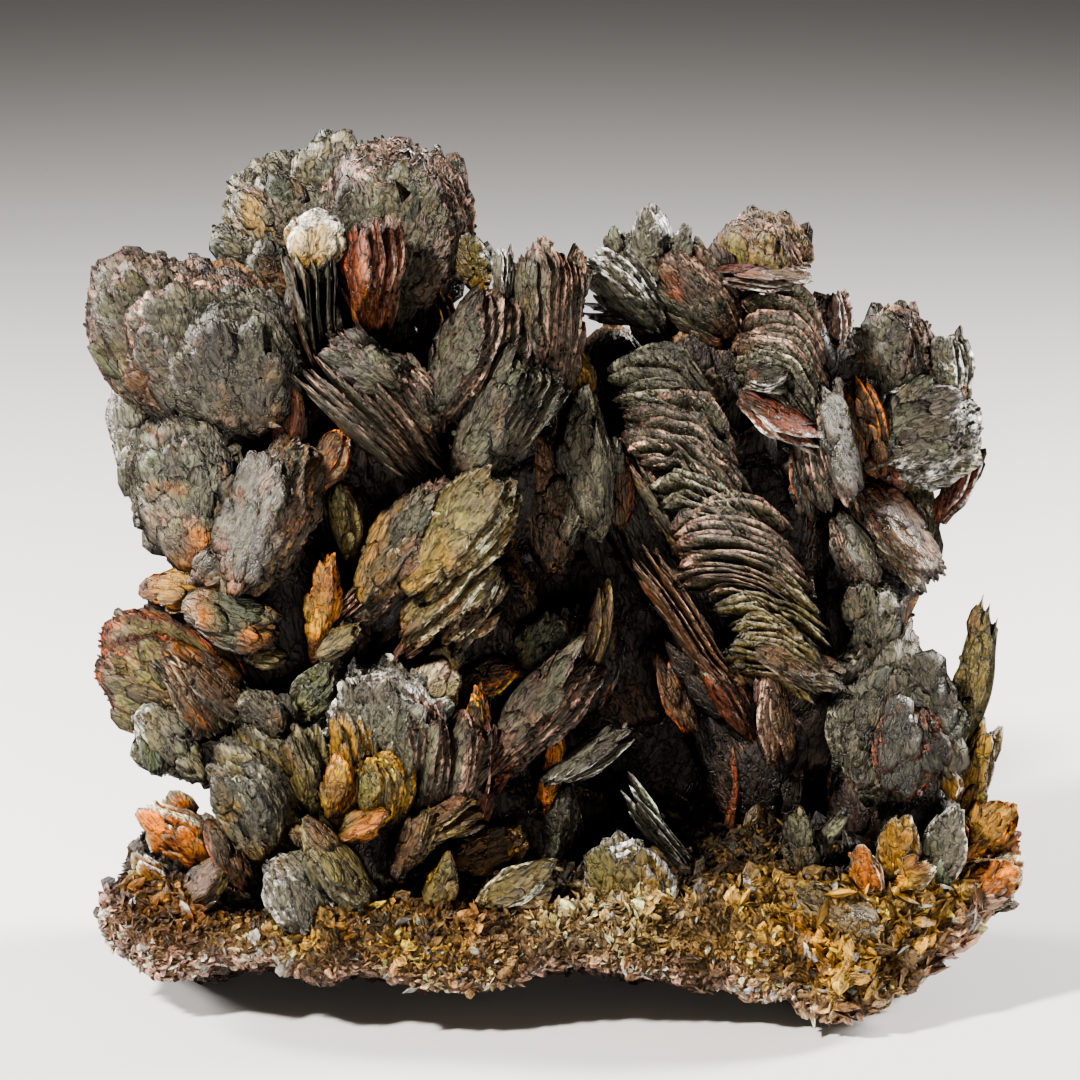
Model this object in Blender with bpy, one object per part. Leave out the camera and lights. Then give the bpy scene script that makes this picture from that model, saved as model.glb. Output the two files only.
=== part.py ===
"""A descloizite specimen: a druse crust that carries two towers and a lower cluster of
bladed, sheaf-like crystal aggregates, all grown into one solid.

Each aggregate is a stack of flat, bevelled crystal plates. The tables below give, for each
one, where it is seen from the front, how far back it lies, how it is turned, and its size.
Lengths in the tables are millimetres and angles are degrees."""

import random
from math import cos, pi, radians, sin

import bmesh
import bpy
from mathutils import Matrix, Vector

NAME = "descloizite_crystal_group"
MM = 0.001
SEED = 7

# The front view that the tables are measured in: a viewpoint a little above the object.
VIEW_RISE = 13.0
VIEW_DISTANCE = 380.0
VIEW_TARGET = Vector((-0.935, 0.0, 39.06))
VIEW_CENTRE_X = -0.935
VIEW_CENTRE_Z = 41.9

# Moves the finished group so that its box is centred over the origin.
SHIFT_X = 0.27
SHIFT_Y = -1.52

# The plates: width of their flat faces as a share of the whole, how far each one sinks into
# the next, unevenness of their corners, narrowing towards the root, how much smaller the
# outer plates of a stack are, and how much of a stack's thickness a fanned one has at its root.
FACE_SHARE = 0.78
OVERLAP = 1.12
JITTER = 0.05
ROOT_NARROWING = 0.25
OUTER_SMALLER = 0.6
FAN_ROOT = 0.6

BASE_Z = 0.0
FLAT = radians(2.5)
KEPT_TRIANGLES = 0.86

COLOUR = (0.20, 0.15, 0.10, 1.0)
ROUGHNESS = 0.4

# Columns: x and z seen from the front, depth; turn of the growth direction in the picture,
# its lean towards the viewer, roll of the plates (0 edge-on, 90 face-on); half length, half
# width and thickness of the stack; step of each plate towards the root per millimetre of
# thickness; fan between the outer plates; plates; pointedness of the tip; corners.
LEFT_TOWER = (
    (-33.6, 59.9, 4.0, 112, 0, 76, 8.4, 7.3, 4.6, 0.25, 0, 2, 0.0, 8),
    (-30.0, 58.8, 1.0, 108, 5, 74, 7.4, 6.8, 4.2, 0.25, 0, 1, 0.0, 7),
    (-27.0, 57.2, -2.5, 104, 5, 72, 6.2, 6.2, 5.0, 0.30, 0, 2, 0.0, 7),
    (-34.4, 49.6, 5.0, 95, 0, 80, 10.8, 3.0, 1.8, 0.0, 0, 1, 0.1, 7),
    (-30.2, 46.6, 0.0, 98, 5, 76, 6.7, 6.4, 6.0, 0.20, 0, 2, 0.0, 8),
    (-21.6, 67.6, 8.0, 122, 0, 80, 8.6, 6.6, 4.0, 0.10, 0, 1, 0.1, 7),
    (-18.6, 72.0, 7.0, 92, 0, 80, 5.9, 4.6, 3.0, 0.10, 0, 1, 0.1, 7),
    (-12.6, 69.2, 4.0, 84, 0, 78, 8.2, 7.0, 6.5, 0.25, 0, 2, 0.0, 8),
    (-19.8, 67.8, -1.0, 80, 5, 76, 2.8, 2.8, 5.0, 0.20, 0, 1, 0.1, 6),
    (-15.4, 64.4, -2.5, 84, 5, 28, 5.4, 3.2, 4.6, 0.0, 10, 2, 0.1, 6),
    (-20.2, 61.0, -1.5, 97, 0, 14, 6.2, 4.0, 3.2, 0.0, 12, 2, 0.1, 6),
    (-15.2, 52.8, -4.5, 130, 5, 18, 8.6, 4.4, 5.6, 0.0, 14, 3, 0.1, 7),
    (-15.6, 56.6, -7.5, 146, 10, 66, 4.4, 2.6, 2.2, 0.10, 0, 1, 0.2, 6),
    (-11.4, 54.0, -6.0, 122, 5, 62, 4.2, 1.9, 2.4, 0.0, 0, 1, 0.2, 6),
    (-0.5, 60.6, -4.5, 88, 0, 26, 6.9, 3.8, 5.8, 0.0, 8, 3, 0.0, 7),
    (-6.9, 57.4, -5.5, 60, 5, 28, 6.9, 4.0, 5.2, 0.0, 12, 3, 0.0, 7),
    (-4.6, 52.4, -7.5, 58, 5, 34, 6.8, 3.8, 5.0, 0.0, 10, 2, 0.0, 7),
    (-4.0, 64.4, -3.5, 88, 0, 30, 3.0, 1.6, 1.7, 0.0, 0, 1, 0.1, 6),
    (-6.6, 65.2, 0.5, 108, 0, 72, 3.2, 2.2, 2.2, 0.0, 0, 1, 0.0, 7),
    (3.2, 48.2, -5.0, 92, 0, 66, 7.0, 2.7, 3.0, 0.10, 0, 1, 0.1, 7),
    (-0.2, 46.2, -2.5, 94, 0, 58, 7.4, 3.4, 3.6, 0.0, 0, 1, 0.1, 7),
    (2.6, 55.4, -3.0, 100, 10, 60, 2.6, 2.0, 2.2, 0.0, 0, 1, 0.2, 6),
    (5.7, 47.4, -1.5, 91, 0, 50, 5.2, 1.8, 1.8, 0.0, 0, 1, 0.2, 6),
    (-22.2, 52.4, -3.0, 86, 5, 40, 4.4, 2.0, 2.2, 0.0, 0, 1, 0.2, 6),
    (-19.0, 48.9, -3.5, 58, 5, 50, 3.4, 1.8, 2.0, 0.0, 0, 1, 0.2, 6),
    (-24.2, 43.8, -5.0, 66, 5, 52, 7.8, 4.2, 5.6, 0.10, 8, 2, 0.1, 7),
    (-27.1, 40.6, -3.5, 84, 5, 60, 4.4, 1.5, 2.0, 0.0, 0, 1, 0.2, 6),
    (-19.4, 36.0, -6.0, 80, 5, 58, 5.2, 1.8, 2.4, 0.0, 0, 1, 0.3, 6),
    (-17.7, 44.0, -2.5, 98, 5, 52, 4.4, 1.7, 2.4, 0.0, 0, 1, 0.3, 6),
    (-18.1, 33.6, -8.0, 40, 5, 30, 3.0, 1.7, 1.4, 0.0, 0, 1, 0.3, 6),
    (-12.6, 41.4, -6.5, 54, 5, 34, 7.4, 3.6, 4.4, 0.0, 8, 2, 0.1, 7),
    (-7.7, 42.8, -10.0, 50, 8, 42, 7.0, 3.8, 4.4, 0.0, 6, 2, 0.1, 7),
    (-9.0, 37.2, -8.5, 46, 5, 30, 6.6, 2.6, 2.6, 0.0, 0, 1, 0.2, 6),
    (-6.6, 36.0, -6.5, 52, 5, 32, 4.6, 2.2, 2.0, 0.0, 0, 1, 0.2, 6),
)

LOWER_LEFT = (
    (-32.9, 30.0, -1.0, 145, 0, 66, 7.3, 6.4, 5.6, 0.15, 0, 2, 0.0, 8),
    (-29.4, 29.6, -5.0, -46, 10, 20, 5.2, 3.6, 5.2, 0.0, 10, 3, 0.1, 6),
    (-32.4, 24.6, -4.0, -52, 5, 66, 4.6, 2.8, 3.2, 0.10, 0, 1, 0.1, 7),
    (-31.4, 37.9, -1.0, 8, 10, 40, 3.8, 2.4, 2.0, 0.0, 0, 1, 0.2, 6),
    (-26.8, 35.2, -4.5, -14, 10, 50, 4.8, 2.8, 3.2, 0.0, 0, 1, 0.2, 7),
    (-24.2, 31.9, -4.5, -4, 5, 40, 2.4, 1.4, 1.6, 0.0, 0, 1, 0.3, 6),
    (-24.2, 20.6, -7.0, 122, 8, 48, 6.6, 5.2, 5.6, 0.10, 14, 3, 0.0, 7),
    (-25.4, 19.2, -10.5, 108, 8, 62, 4.4, 3.4, 4.0, 0.10, 0, 1, 0.0, 7),
    (-14.2, 27.2, -8.5, 86, 8, 72, 4.4, 6.0, 4.6, 0.20, 0, 1, 0.0, 8),
    (-9.2, 22.4, -9.5, 72, 8, 26, 5.6, 3.6, 5.2, 0.0, 16, 3, 0.1, 7),
    (-14.6, 20.6, -11.0, 82, 10, 42, 4.0, 2.6, 5.6, 0.0, 14, 3, 0.3, 6),
    (-18.3, 20.8, -12.0, 86, 8, 66, 3.4, 1.8, 2.6, 0.0, 0, 1, 0.3, 6),
    (-15.9, 17.9, -13.5, 30, 8, 36, 3.0, 1.6, 1.8, 0.0, 0, 1, 0.3, 6),
    (-18.1, 14.2, -14.0, -50, 8, 34, 5.0, 2.4, 3.0, 0.0, 8, 2, 0.2, 6),
    (-21.4, 11.9, -13.5, -62, 8, 62, 3.5, 3.1, 3.6, 0.10, 0, 1, 0.0, 7),
    (-27.4, 15.4, -10.0, -56, 5, 44, 3.8, 1.9, 2.2, 0.0, 0, 1, 0.2, 6),
    (-9.4, 17.9, -12.0, 28, 8, 24, 4.2, 2.2, 2.6, 0.0, 8, 1, 0.2, 6),
    (-20.3, 28.8, -5.5, 62, 5, 68, 3.2, 2.4, 2.4, 0.10, 0, 1, 0.1, 7),
    (-1.2, 27.2, -7.0, 47, 5, 26, 8.6, 2.9, 3.6, 0.0, 8, 2, 0.2, 6),
    (3.6, 34.2, -4.0, 82, 5, 40, 4.8, 1.6, 1.7, 0.0, 0, 1, 0.2, 6),
    (0.0, 22.8, -5.5, 82, 5, 50, 4.4, 1.7, 1.8, 0.0, 0, 1, 0.2, 6),
    (3.4, 23.8, -7.0, 34, 5, 28, 5.4, 1.9, 2.0, 0.0, 0, 1, 0.3, 6),
    (0.9, 18.2, -5.5, 78, 5, 44, 3.6, 1.9, 2.6, 0.0, 0, 1, 0.2, 6),
    (-0.8, 33.0, -3.0, 66, 5, 70, 3.4, 2.3, 2.0, 0.0, 0, 1, 0.0, 7),
    (-5.2, 30.4, -4.0, 20, 5, 50, 3.0, 2.0, 2.4, 0.0, 0, 1, 0.1, 6),
    (-4.6, 34.2, 0.5, 80, 0, 64, 4.6, 3.4, 3.0, 0.0, 0, 1, 0.1, 7),
    (-9.6, 30.0, -6.0, 66, 5, 68, 3.4, 2.5, 3.4, 0.0, 0, 1, 0.1, 6),
    (-6.3, 26.4, -6.5, 86, 5, 62, 3.6, 1.6, 2.2, 0.0, 0, 1, 0.2, 6),
)

RIGHT_TOWER = (
    (8.6, 66.8, 0.0, 90, 0, 50, 4.0, 1.5, 2.0, 0.0, 0, 1, 0.5, 6),
    (7.0, 66.0, 0.5, 104, 0, 40, 3.0, 1.2, 1.5, 0.0, 0, 1, 0.4, 6),
    (10.2, 66.2, 0.5, 78, 0, 40, 3.0, 1.2, 1.5, 0.0, 0, 1, 0.4, 6),
    (6.2, 63.2, -0.5, 134, 0, 20, 5.4, 2.4, 3.2, 0.0, 16, 2, 0.3, 6),
    (6.8, 60.8, 2.0, 178, 0, 24, 4.2, 1.8, 1.6, 0.0, 0, 1, 0.3, 6),
    (12.6, 62.8, -1.0, 122, 5, 48, 5.0, 3.6, 5.0, 0.10, 12, 2, 0.2, 7),
    (17.7, 65.9, 0.0, 96, 5, 58, 3.8, 4.9, 5.0, 0.10, 0, 2, 0.0, 7),
    (18.3, 64.5, -3.0, 0, 5, 8, 4.4, 3.6, 1.5, 0.0, 0, 1, 0.0, 7),
    (10.6, 56.2, -5.0, 86, 10, 66, 3.9, 5.3, 5.4, 0.35, 0, 2, 0.0, 8),
    (12.0, 51.6, -7.0, 78, 10, 66, 4.0, 6.1, 5.6, 0.35, 0, 2, 0.0, 8),
    (14.2, 46.8, -8.0, 82, 10, 64, 3.5, 5.4, 4.8, 0.35, 0, 1, 0.0, 7),
    (16.4, 42.2, -8.5, 96, 12, 64, 4.8, 6.8, 5.6, 0.30, 0, 2, 0.0, 8),
    (18.6, 37.6, -8.5, 94, 12, 64, 3.4, 5.4, 4.0, 0.30, 0, 1, 0.0, 7),
    (19.2, 33.0, -8.5, 92, 12, 66, 3.2, 5.2, 3.4, 0.30, 0, 1, 0.0, 7),
    (21.2, 31.2, -9.5, -20, 8, 34, 4.4, 2.2, 2.2, 0.0, 0, 1, 0.2, 6),
    (20.2, 60.0, -4.5, 80, 10, 66, 4.2, 4.7, 5.4, 0.35, 0, 2, 0.0, 8),
    (20.6, 56.2, -5.5, 70, 10, 64, 3.6, 4.6, 4.8, 0.35, 0, 1, 0.0, 7),
    (18.2, 55.6, -7.0, 8, 5, 44, 2.3, 1.5, 1.6, 0.0, 0, 1, 0.2, 6),
    (19.5, 52.2, -8.0, -28, 8, 36, 4.3, 2.1, 2.2, 0.0, 0, 1, 0.2, 6),
    (23.8, 50.0, -6.5, -76, 5, 46, 5.8, 2.6, 4.4, 0.0, 8, 2, 0.2, 6),
    (21.7, 46.8, -6.0, -72, 5, 44, 3.7, 1.5, 1.8, 0.0, 0, 1, 0.3, 6),
    (9.3, 44.6, -4.0, 117, 5, 24, 6.0, 1.8, 1.7, 0.0, 0, 1, 0.3, 6),
    (11.8, 34.2, -5.0, 124, 5, 24, 9.4, 2.2, 2.4, 0.0, 0, 2, 0.3, 6),
    (15.2, 28.2, -4.5, 118, 5, 34, 4.6, 2.0, 2.4, 0.0, 10, 1, 0.3, 6),
    (15.0, 20.8, 2.5, 92, 0, 40, 5.4, 1.7, 1.7, 0.0, 0, 1, 0.3, 6),
    (19.1, 26.8, -7.5, -84, 0, 44, 5.0, 1.8, 2.2, 0.0, 6, 1, 0.3, 6),
    (10.6, 28.9, 0.0, -70, 0, 40, 4.5, 1.7, 1.9, 0.0, 0, 1, 0.3, 6),
    (28.9, 57.4, 2.0, 96, 0, 70, 4.9, 3.6, 4.4, 0.15, 0, 2, 0.0, 7),
    (33.9, 56.1, 0.5, 86, 0, 46, 3.6, 1.9, 2.6, 0.0, 0, 1, 0.1, 7),
    (31.4, 51.2, -1.5, 22, 8, 54, 5.8, 5.0, 5.6, 0.15, 10, 2, 0.0, 7),
    (34.6, 46.2, -0.5, 62, 5, 40, 4.0, 1.7, 1.6, 0.0, 0, 1, 0.2, 6),
    (24.2, 60.0, 0.0, 88, 0, 52, 3.5, 1.5, 2.2, 0.0, 0, 1, 0.1, 6),
    (27.0, 50.8, -2.5, 100, 5, 50, 5.6, 2.2, 2.6, 0.0, 0, 1, 0.2, 6),
    (26.0, 41.1, -5.5, -63, 5, 46, 4.0, 1.8, 2.4, 0.0, 0, 1, 0.2, 6),
    (29.1, 43.0, -3.5, -54, 5, 44, 6.8, 3.0, 3.6, 0.0, 10, 2, 0.3, 6),
    (27.2, 35.2, -6.0, 96, 5, 70, 4.2, 2.7, 3.4, 0.10, 0, 1, 0.0, 7),
    (31.2, 43.0, 0.0, 96, 0, 50, 4.8, 1.8, 2.4, 0.0, 0, 1, 0.1, 6),
    (29.8, 48.0, 0.5, 100, 0, 68, 4.0, 2.6, 2.4, 0.0, 0, 1, 0.1, 7),
    (29.7, 25.6, -7.5, -86, 5, 78, 7.6, 7.1, 4.0, 0.20, 0, 2, 0.2, 10),
    (30.3, 23.8, -9.8, -84, 5, 78, 4.6, 4.2, 2.2, 0.10, 0, 1, 0.1, 7),
    (35.8, 30.0, -5.2, 81, 0, 60, 8.6, 1.9, 1.8, 0.0, 0, 1, 0.5, 6),
)

CRUST_LEAVES = (
    (21.2, 15.6, -11.0, 96, 8, 70, 4.2, 1.7, 1.6, 0.0, 0, 1, 0.3, 6),
    (23.4, 16.4, -10.0, 58, 5, 50, 3.7, 1.2, 1.3, 0.0, 0, 1, 0.4, 6),
    (26.6, 13.6, -14.5, 110, 8, 66, 3.1, 1.9, 1.8, 0.0, 0, 1, 0.4, 6),
    (29.4, 15.6, -11.0, 88, 8, 66, 3.6, 1.8, 1.8, 0.0, 0, 1, 0.4, 6),
    (33.4, 15.4, -11.0, 76, 8, 72, 4.7, 2.2, 1.6, 0.0, 0, 1, 0.2, 7),
    (37.4, 17.4, -9.0, 50, 5, 66, 3.4, 2.6, 2.4, 0.0, 0, 1, 0.2, 6),
    (37.6, 13.2, -10.0, 50, 5, 62, 3.2, 2.2, 2.4, 0.0, 0, 1, 0.2, 6),
    (31.0, 13.4, -13.5, 22, 8, 60, 2.5, 1.6, 1.6, 0.0, 0, 1, 0.4, 6),
    (24.8, 10.4, -16.0, -28, 8, 58, 4.7, 2.4, 2.0, 0.0, 0, 1, 0.3, 7),
    (36.2, 21.6, -6.5, 76, 5, 60, 5.2, 1.7, 1.9, 0.0, 0, 1, 0.2, 6),
    (34.0, 21.2, -8.0, 104, 5, 60, 2.3, 1.4, 1.5, 0.0, 0, 1, 0.4, 6),
    (6.6, 12.6, -12.5, 86, 5, 78, 4.6, 4.5, 2.4, 0.0, 0, 1, 0.0, 10),
    (9.0, 17.4, -7.5, 126, 5, 34, 6.2, 1.9, 2.2, 0.0, 0, 1, 0.3, 6),
    (-2.9, 12.5, -14.0, 30, 8, 64, 4.2, 2.0, 2.0, 0.0, 0, 1, 0.3, 7),
    (-5.0, 15.6, -9.0, 26, 8, 62, 3.6, 3.0, 2.0, 0.0, 0, 1, 0.2, 6),
    (-9.6, 12.2, -13.0, 70, 8, 62, 3.4, 2.0, 2.0, 0.0, 0, 1, 0.3, 6),
    (-31.4, 16.6, -6.0, 132, 5, 60, 4.2, 3.4, 4.0, 0.0, 0, 1, 0.1, 7),
    (-33.9, 13.4, -7.5, 128, 5, 56, 2.6, 2.0, 2.4, 0.0, 0, 1, 0.1, 6),
    (-29.6, 12.6, -10.5, 40, 8, 40, 3.6, 2.0, 2.4, 0.0, 0, 1, 0.2, 6),
)

# The back isn't seen in the photo: the same kinds of aggregate, turned away from the viewer.
BACK = (
    (-30.0, 52.0, 9.0, 118, -20, 104, 9.0, 7.4, 6.0, 0.0, 0, 2, 0.0, 6),
    (-18.0, 59.0, 12.0, 96, -20, 112, 9.0, 7.4, 6.0, 0.0, 0, 2, 0.0, 6),
    (-5.0, 52.0, 8.0, 84, -20, 108, 9.0, 6.0, 6.0, 0.0, 0, 1, 0.0, 6),
    (-25.0, 42.0, 12.0, 110, -25, 110, 9.0, 8.0, 7.0, 0.0, 0, 2, 0.0, 6),
    (-10.0, 42.0, 13.0, 88, -20, 100, 10.0, 8.0, 7.0, 0.0, 0, 2, 0.0, 6),
    (-27.0, 28.0, 11.0, 130, -25, 110, 8.4, 7.6, 7.0, 0.0, 0, 2, 0.0, 6),
    (-11.0, 26.0, 15.0, 96, -30, 112, 9.0, 9.0, 7.0, 0.0, 0, 2, 0.0, 6),
    (3.0, 40.0, 9.0, 82, -10, 96, 13.0, 6.4, 5.0, 0.0, 0, 1, 0.0, 6),
    (12.0, 52.0, 9.0, 92, -20, 106, 8.6, 6.6, 6.0, 0.0, 0, 1, 0.0, 6),
    (23.5, 49.0, 9.0, 84, -20, 104, 9.0, 6.6, 7.0, 0.0, 0, 2, 0.0, 6),
    (19.0, 38.0, 13.0, 86, -20, 104, 10.0, 8.0, 8.0, 0.0, 0, 2, 0.0, 6),
    (26.0, 28.0, 10.0, 74, -20, 100, 9.0, 6.0, 7.0, 0.0, 0, 1, 0.0, 6),
    (10.0, 23.0, 15.0, 88, -30, 108, 9.0, 9.0, 7.0, 0.0, 0, 2, 0.0, 6),
    (25.0, 20.0, 12.0, 70, -25, 100, 8.0, 7.0, 7.0, 0.0, 0, 1, 0.0, 6),
    (-1.0, 18.0, 14.0, 100, -30, 108, 7.0, 7.0, 6.0, 0.0, 0, 1, 0.0, 6),
)

# The inner growth that the outer aggregates stand on, out of sight behind them.
TRUNKS = (
    (-28.0, 52.0, 5.0, 100, 0, 80, 13.0, 6.5, 7.0, 0.0, 0, 1, 0.0, 6),
    (-17.0, 58.0, 6.0, 92, 0, 85, 13.0, 6.5, 8.0, 0.0, 0, 1, 0.0, 6),
    (-13.0, 45.0, 4.0, 96, 0, 80, 14.0, 9.0, 9.0, 0.0, 0, 1, 0.0, 6),
    (-4.0, 50.0, 1.0, 84, 0, 80, 12.0, 6.0, 9.0, 0.0, 0, 1, 0.0, 6),
    (-22.0, 34.0, 4.0, 104, 0, 80, 14.0, 9.0, 12.0, 0.0, 0, 1, 0.0, 6),
    (-7.0, 29.0, 3.0, 92, 0, 80, 15.0, 8.0, 12.0, 0.0, 0, 1, 0.0, 6),
    (-20.0, 17.0, 0.0, 90, 0, 85, 12.0, 9.0, 16.0, 0.0, 0, 1, 0.0, 6),
    (-3.0, 16.0, 0.0, 90, 0, 85, 9.0, 7.0, 12.0, 0.0, 0, 1, 0.0, 6),
    (13.0, 55.0, 3.0, 92, 0, 80, 9.0, 6.0, 9.0, 0.0, 0, 1, 0.0, 6),
    (22.0, 53.0, 2.0, 84, 0, 80, 10.0, 6.0, 9.0, 0.0, 0, 1, 0.0, 6),
    (16.5, 43.0, 2.0, 96, 0, 80, 13.0, 7.0, 12.0, 0.0, 0, 1, 0.0, 6),
    (27.0, 39.0, 1.0, 90, 0, 80, 12.0, 4.0, 8.0, 0.0, 0, 1, 0.0, 6),
    (19.0, 27.0, 6.0, 90, 0, 80, 13.0, 7.0, 12.0, 0.0, 0, 1, 0.0, 6),
    (29.5, 20.0, 0.0, 84, 0, 80, 12.0, 6.0, 12.0, 0.0, 0, 1, 0.0, 6),
    (5.0, 24.0, 11.0, 90, 0, 85, 12.0, 9.0, 8.0, 0.0, 0, 1, 0.0, 6),
    (31.6, 53.0, 1.5, 84, 0, 78, 6.0, 3.4, 3.6, 0.0, 0, 1, 0.0, 6),
    (10.4, 42.0, 2.0, 112, 0, 60, 12.0, 4.0, 6.0, 0.0, 0, 1, 0.0, 6),
    (13.4, 32.0, 0.5, 118, 0, 50, 6.0, 3.6, 6.0, 0.0, 0, 1, 0.0, 6),
    (-11.0, 39.5, -3.0, 56, 0, 40, 9.0, 4.6, 7.0, 0.0, 0, 1, 0.0, 6),
    (1.4, 31.0, -0.5, 80, 0, 70, 7.0, 4.4, 7.0, 0.0, 0, 1, 0.0, 6),
    (-28.0, 60.0, 5.0, 110, 0, 76, 7.0, 6.0, 6.0, 0.0, 0, 1, 0.0, 6),
    (12.4, 62.0, 2.5, 110, 0, 70, 5.0, 5.0, 4.0, 0.0, 0, 1, 0.0, 6),
)

# The crust from left to right: x; lower and upper edge of its front face as seen; depth of
# the front face; depth of its back. The lower edge hangs clear of the flat it rests on.
CRUST = (
    (-37.8, 7.4, 10.6, -9.0, 2.0),
    (-35.6, 5.2, 12.6, -11.5, 7.0),
    (-32.8, 4.2, 13.6, -13.5, 12.0),
    (-29.6, 5.4, 11.0, -14.5, 15.0),
    (-27.2, 5.2, 9.6, -15.5, 17.0),
    (-24.6, 6.2, 9.4, -15.5, 18.5),
    (-21.6, 4.2, 9.2, -16.5, 19.5),
    (-19.2, 3.5, 11.0, -17.0, 20.0),
    (-16.7, 4.8, 11.2, -16.5, 20.0),
    (-13.6, 3.8, 11.2, -17.0, 20.0),
    (-9.2, 3.1, 11.2, -17.5, 20.0),
    (-5.2, 2.9, 11.0, -17.5, 20.0),
    (-3.0, 3.3, 11.0, -17.0, 20.0),
    (-0.2, 5.4, 11.8, -16.5, 20.0),
    (3.6, 5.0, 12.2, -16.0, 20.0),
    (8.0, 4.2, 12.6, -16.0, 19.5),
    (11.6, 3.7, 12.2, -16.0, 19.5),
    (13.4, 2.8, 12.8, -16.0, 19.0),
    (14.9, 3.5, 12.8, -16.0, 19.0),
    (17.8, 2.1, 13.4, -16.5, 18.5),
    (19.6, 2.7, 13.6, -16.5, 18.0),
    (22.2, 0.8, 12.8, -17.0, 17.5),
    (24.0, -0.1, 12.8, -17.5, 17.0),
    (27.8, 0.9, 13.0, -16.5, 16.0),
    (30.8, 3.0, 14.0, -14.5, 14.0),
    (33.6, 6.0, 13.0, -12.5, 11.0),
    (36.6, 10.4, 15.0, -11.0, 6.0),
    (38.4, 12.2, 16.2, -9.5, 1.0),
)
FOOT_LEFT = -26.0
FOOT_RIGHT = 27.0
FOOT_FRONT = 2.0
FOOT_BACK = 13.0
FOOT_INSET = 4.0
FOOT_END_SHARE = 0.8
FOOT_LEAST = 1.0
CRUST_SET_BACK = 1.5
CRUST_RIM_OUT = 1.4
CRUST_ROWS = (0.3, 0.65)
CRUST_ROUGHNESS = 0.5


def view_axes():
    rise = radians(VIEW_RISE)
    forward = Vector((0.0, cos(rise), -sin(rise)))
    up = Vector((0.0, sin(rise), cos(rise)))
    return forward, up


def seen(x, z, depth):
    """The point at this depth that is seen at x, z in the front view."""
    forward, up = view_axes()
    eye = VIEW_TARGET - forward * VIEW_DISTANCE
    ray = forward * VIEW_DISTANCE + Vector((x - VIEW_CENTRE_X, 0.0, 0.0))
    ray = ray + up * (z - VIEW_CENTRE_Z)
    return eye + ray * ((depth - eye.y) / ray.y)


def axes_of(turn, lean, roll):
    """Growth direction, stacking direction and sideways direction of an aggregate."""
    turn, lean, roll = radians(turn), radians(lean), radians(roll)
    viewer = Vector((0.0, -1.0, 0.0))
    in_picture = Vector((cos(turn), 0.0, sin(turn)))
    growth = in_picture * cos(lean) + viewer * sin(lean)
    across = Vector((-sin(turn), 0.0, cos(turn)))
    front = growth.cross(across).normalized()
    stack = across * cos(roll) + front * sin(roll)
    return growth, stack, growth.cross(stack).normalized()


def outline(long, wide, point, corners, rng):
    """The plate's corners in its own plane, along and across the growth direction."""
    found = []
    for i in range(corners):
        angle = 2 * pi * i / corners
        along = cos(angle)
        side = sin(angle)
        if along > 0:
            side *= 1 - point * along * along
        else:
            side *= 1 + ROOT_NARROWING * along
        size = 1 + rng.uniform(-JITTER, JITTER)
        found.append((along * long * size, side * wide * size))
    return found


def plate(centre, axes, points, half):
    """A flat crystal plate with bevelled edges, as corner positions and faces."""
    growth, stack, sideways = axes
    rings = ((FACE_SHARE, -half), (1.0, 0.0), (FACE_SHARE, half))
    verts = []
    for share, height in rings:
        for along, side in points:
            offset = growth * (along * share) + sideways * (side * share)
            verts.append(centre + offset + stack * height)
    count = len(points)
    faces = [tuple(range(count)), tuple(range(3 * count - 1, 2 * count - 1, -1))]
    for ring in range(2):
        for i in range(count):
            j = (i + 1) % count
            low, high = ring * count, (ring + 1) * count
            faces.append((low + i, high + i, high + j, low + j))
    return verts, faces


def aggregate(row, rng):
    """The plates of one aggregate."""
    x, z, depth, turn, lean, roll, long, wide, thick, step, fan, plates, point, corners = row
    growth, stack, sideways = axes_of(turn, lean, roll)
    centre = seen(x, z, depth)
    half = thick / plates / 2 * OVERLAP
    made = []
    for k in range(plates):
        place = (k + 0.5) / plates - 0.5
        size = 1 - OUTER_SMALLER * place * place
        spin = Matrix.Rotation(radians(fan * place), 3, sideways)
        turned = (spin @ growth, spin @ stack, sideways)
        spread = place * thick * (FAN_ROOT if fan else 1)
        root = centre - growth * long + stack * spread
        middle = root + turned[0] * long - growth * (step * thick * (place + 0.5))
        points = outline(long * size, wide * size, point, corners, rng)
        made.append(plate(middle, turned, points, half))
    return made


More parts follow.
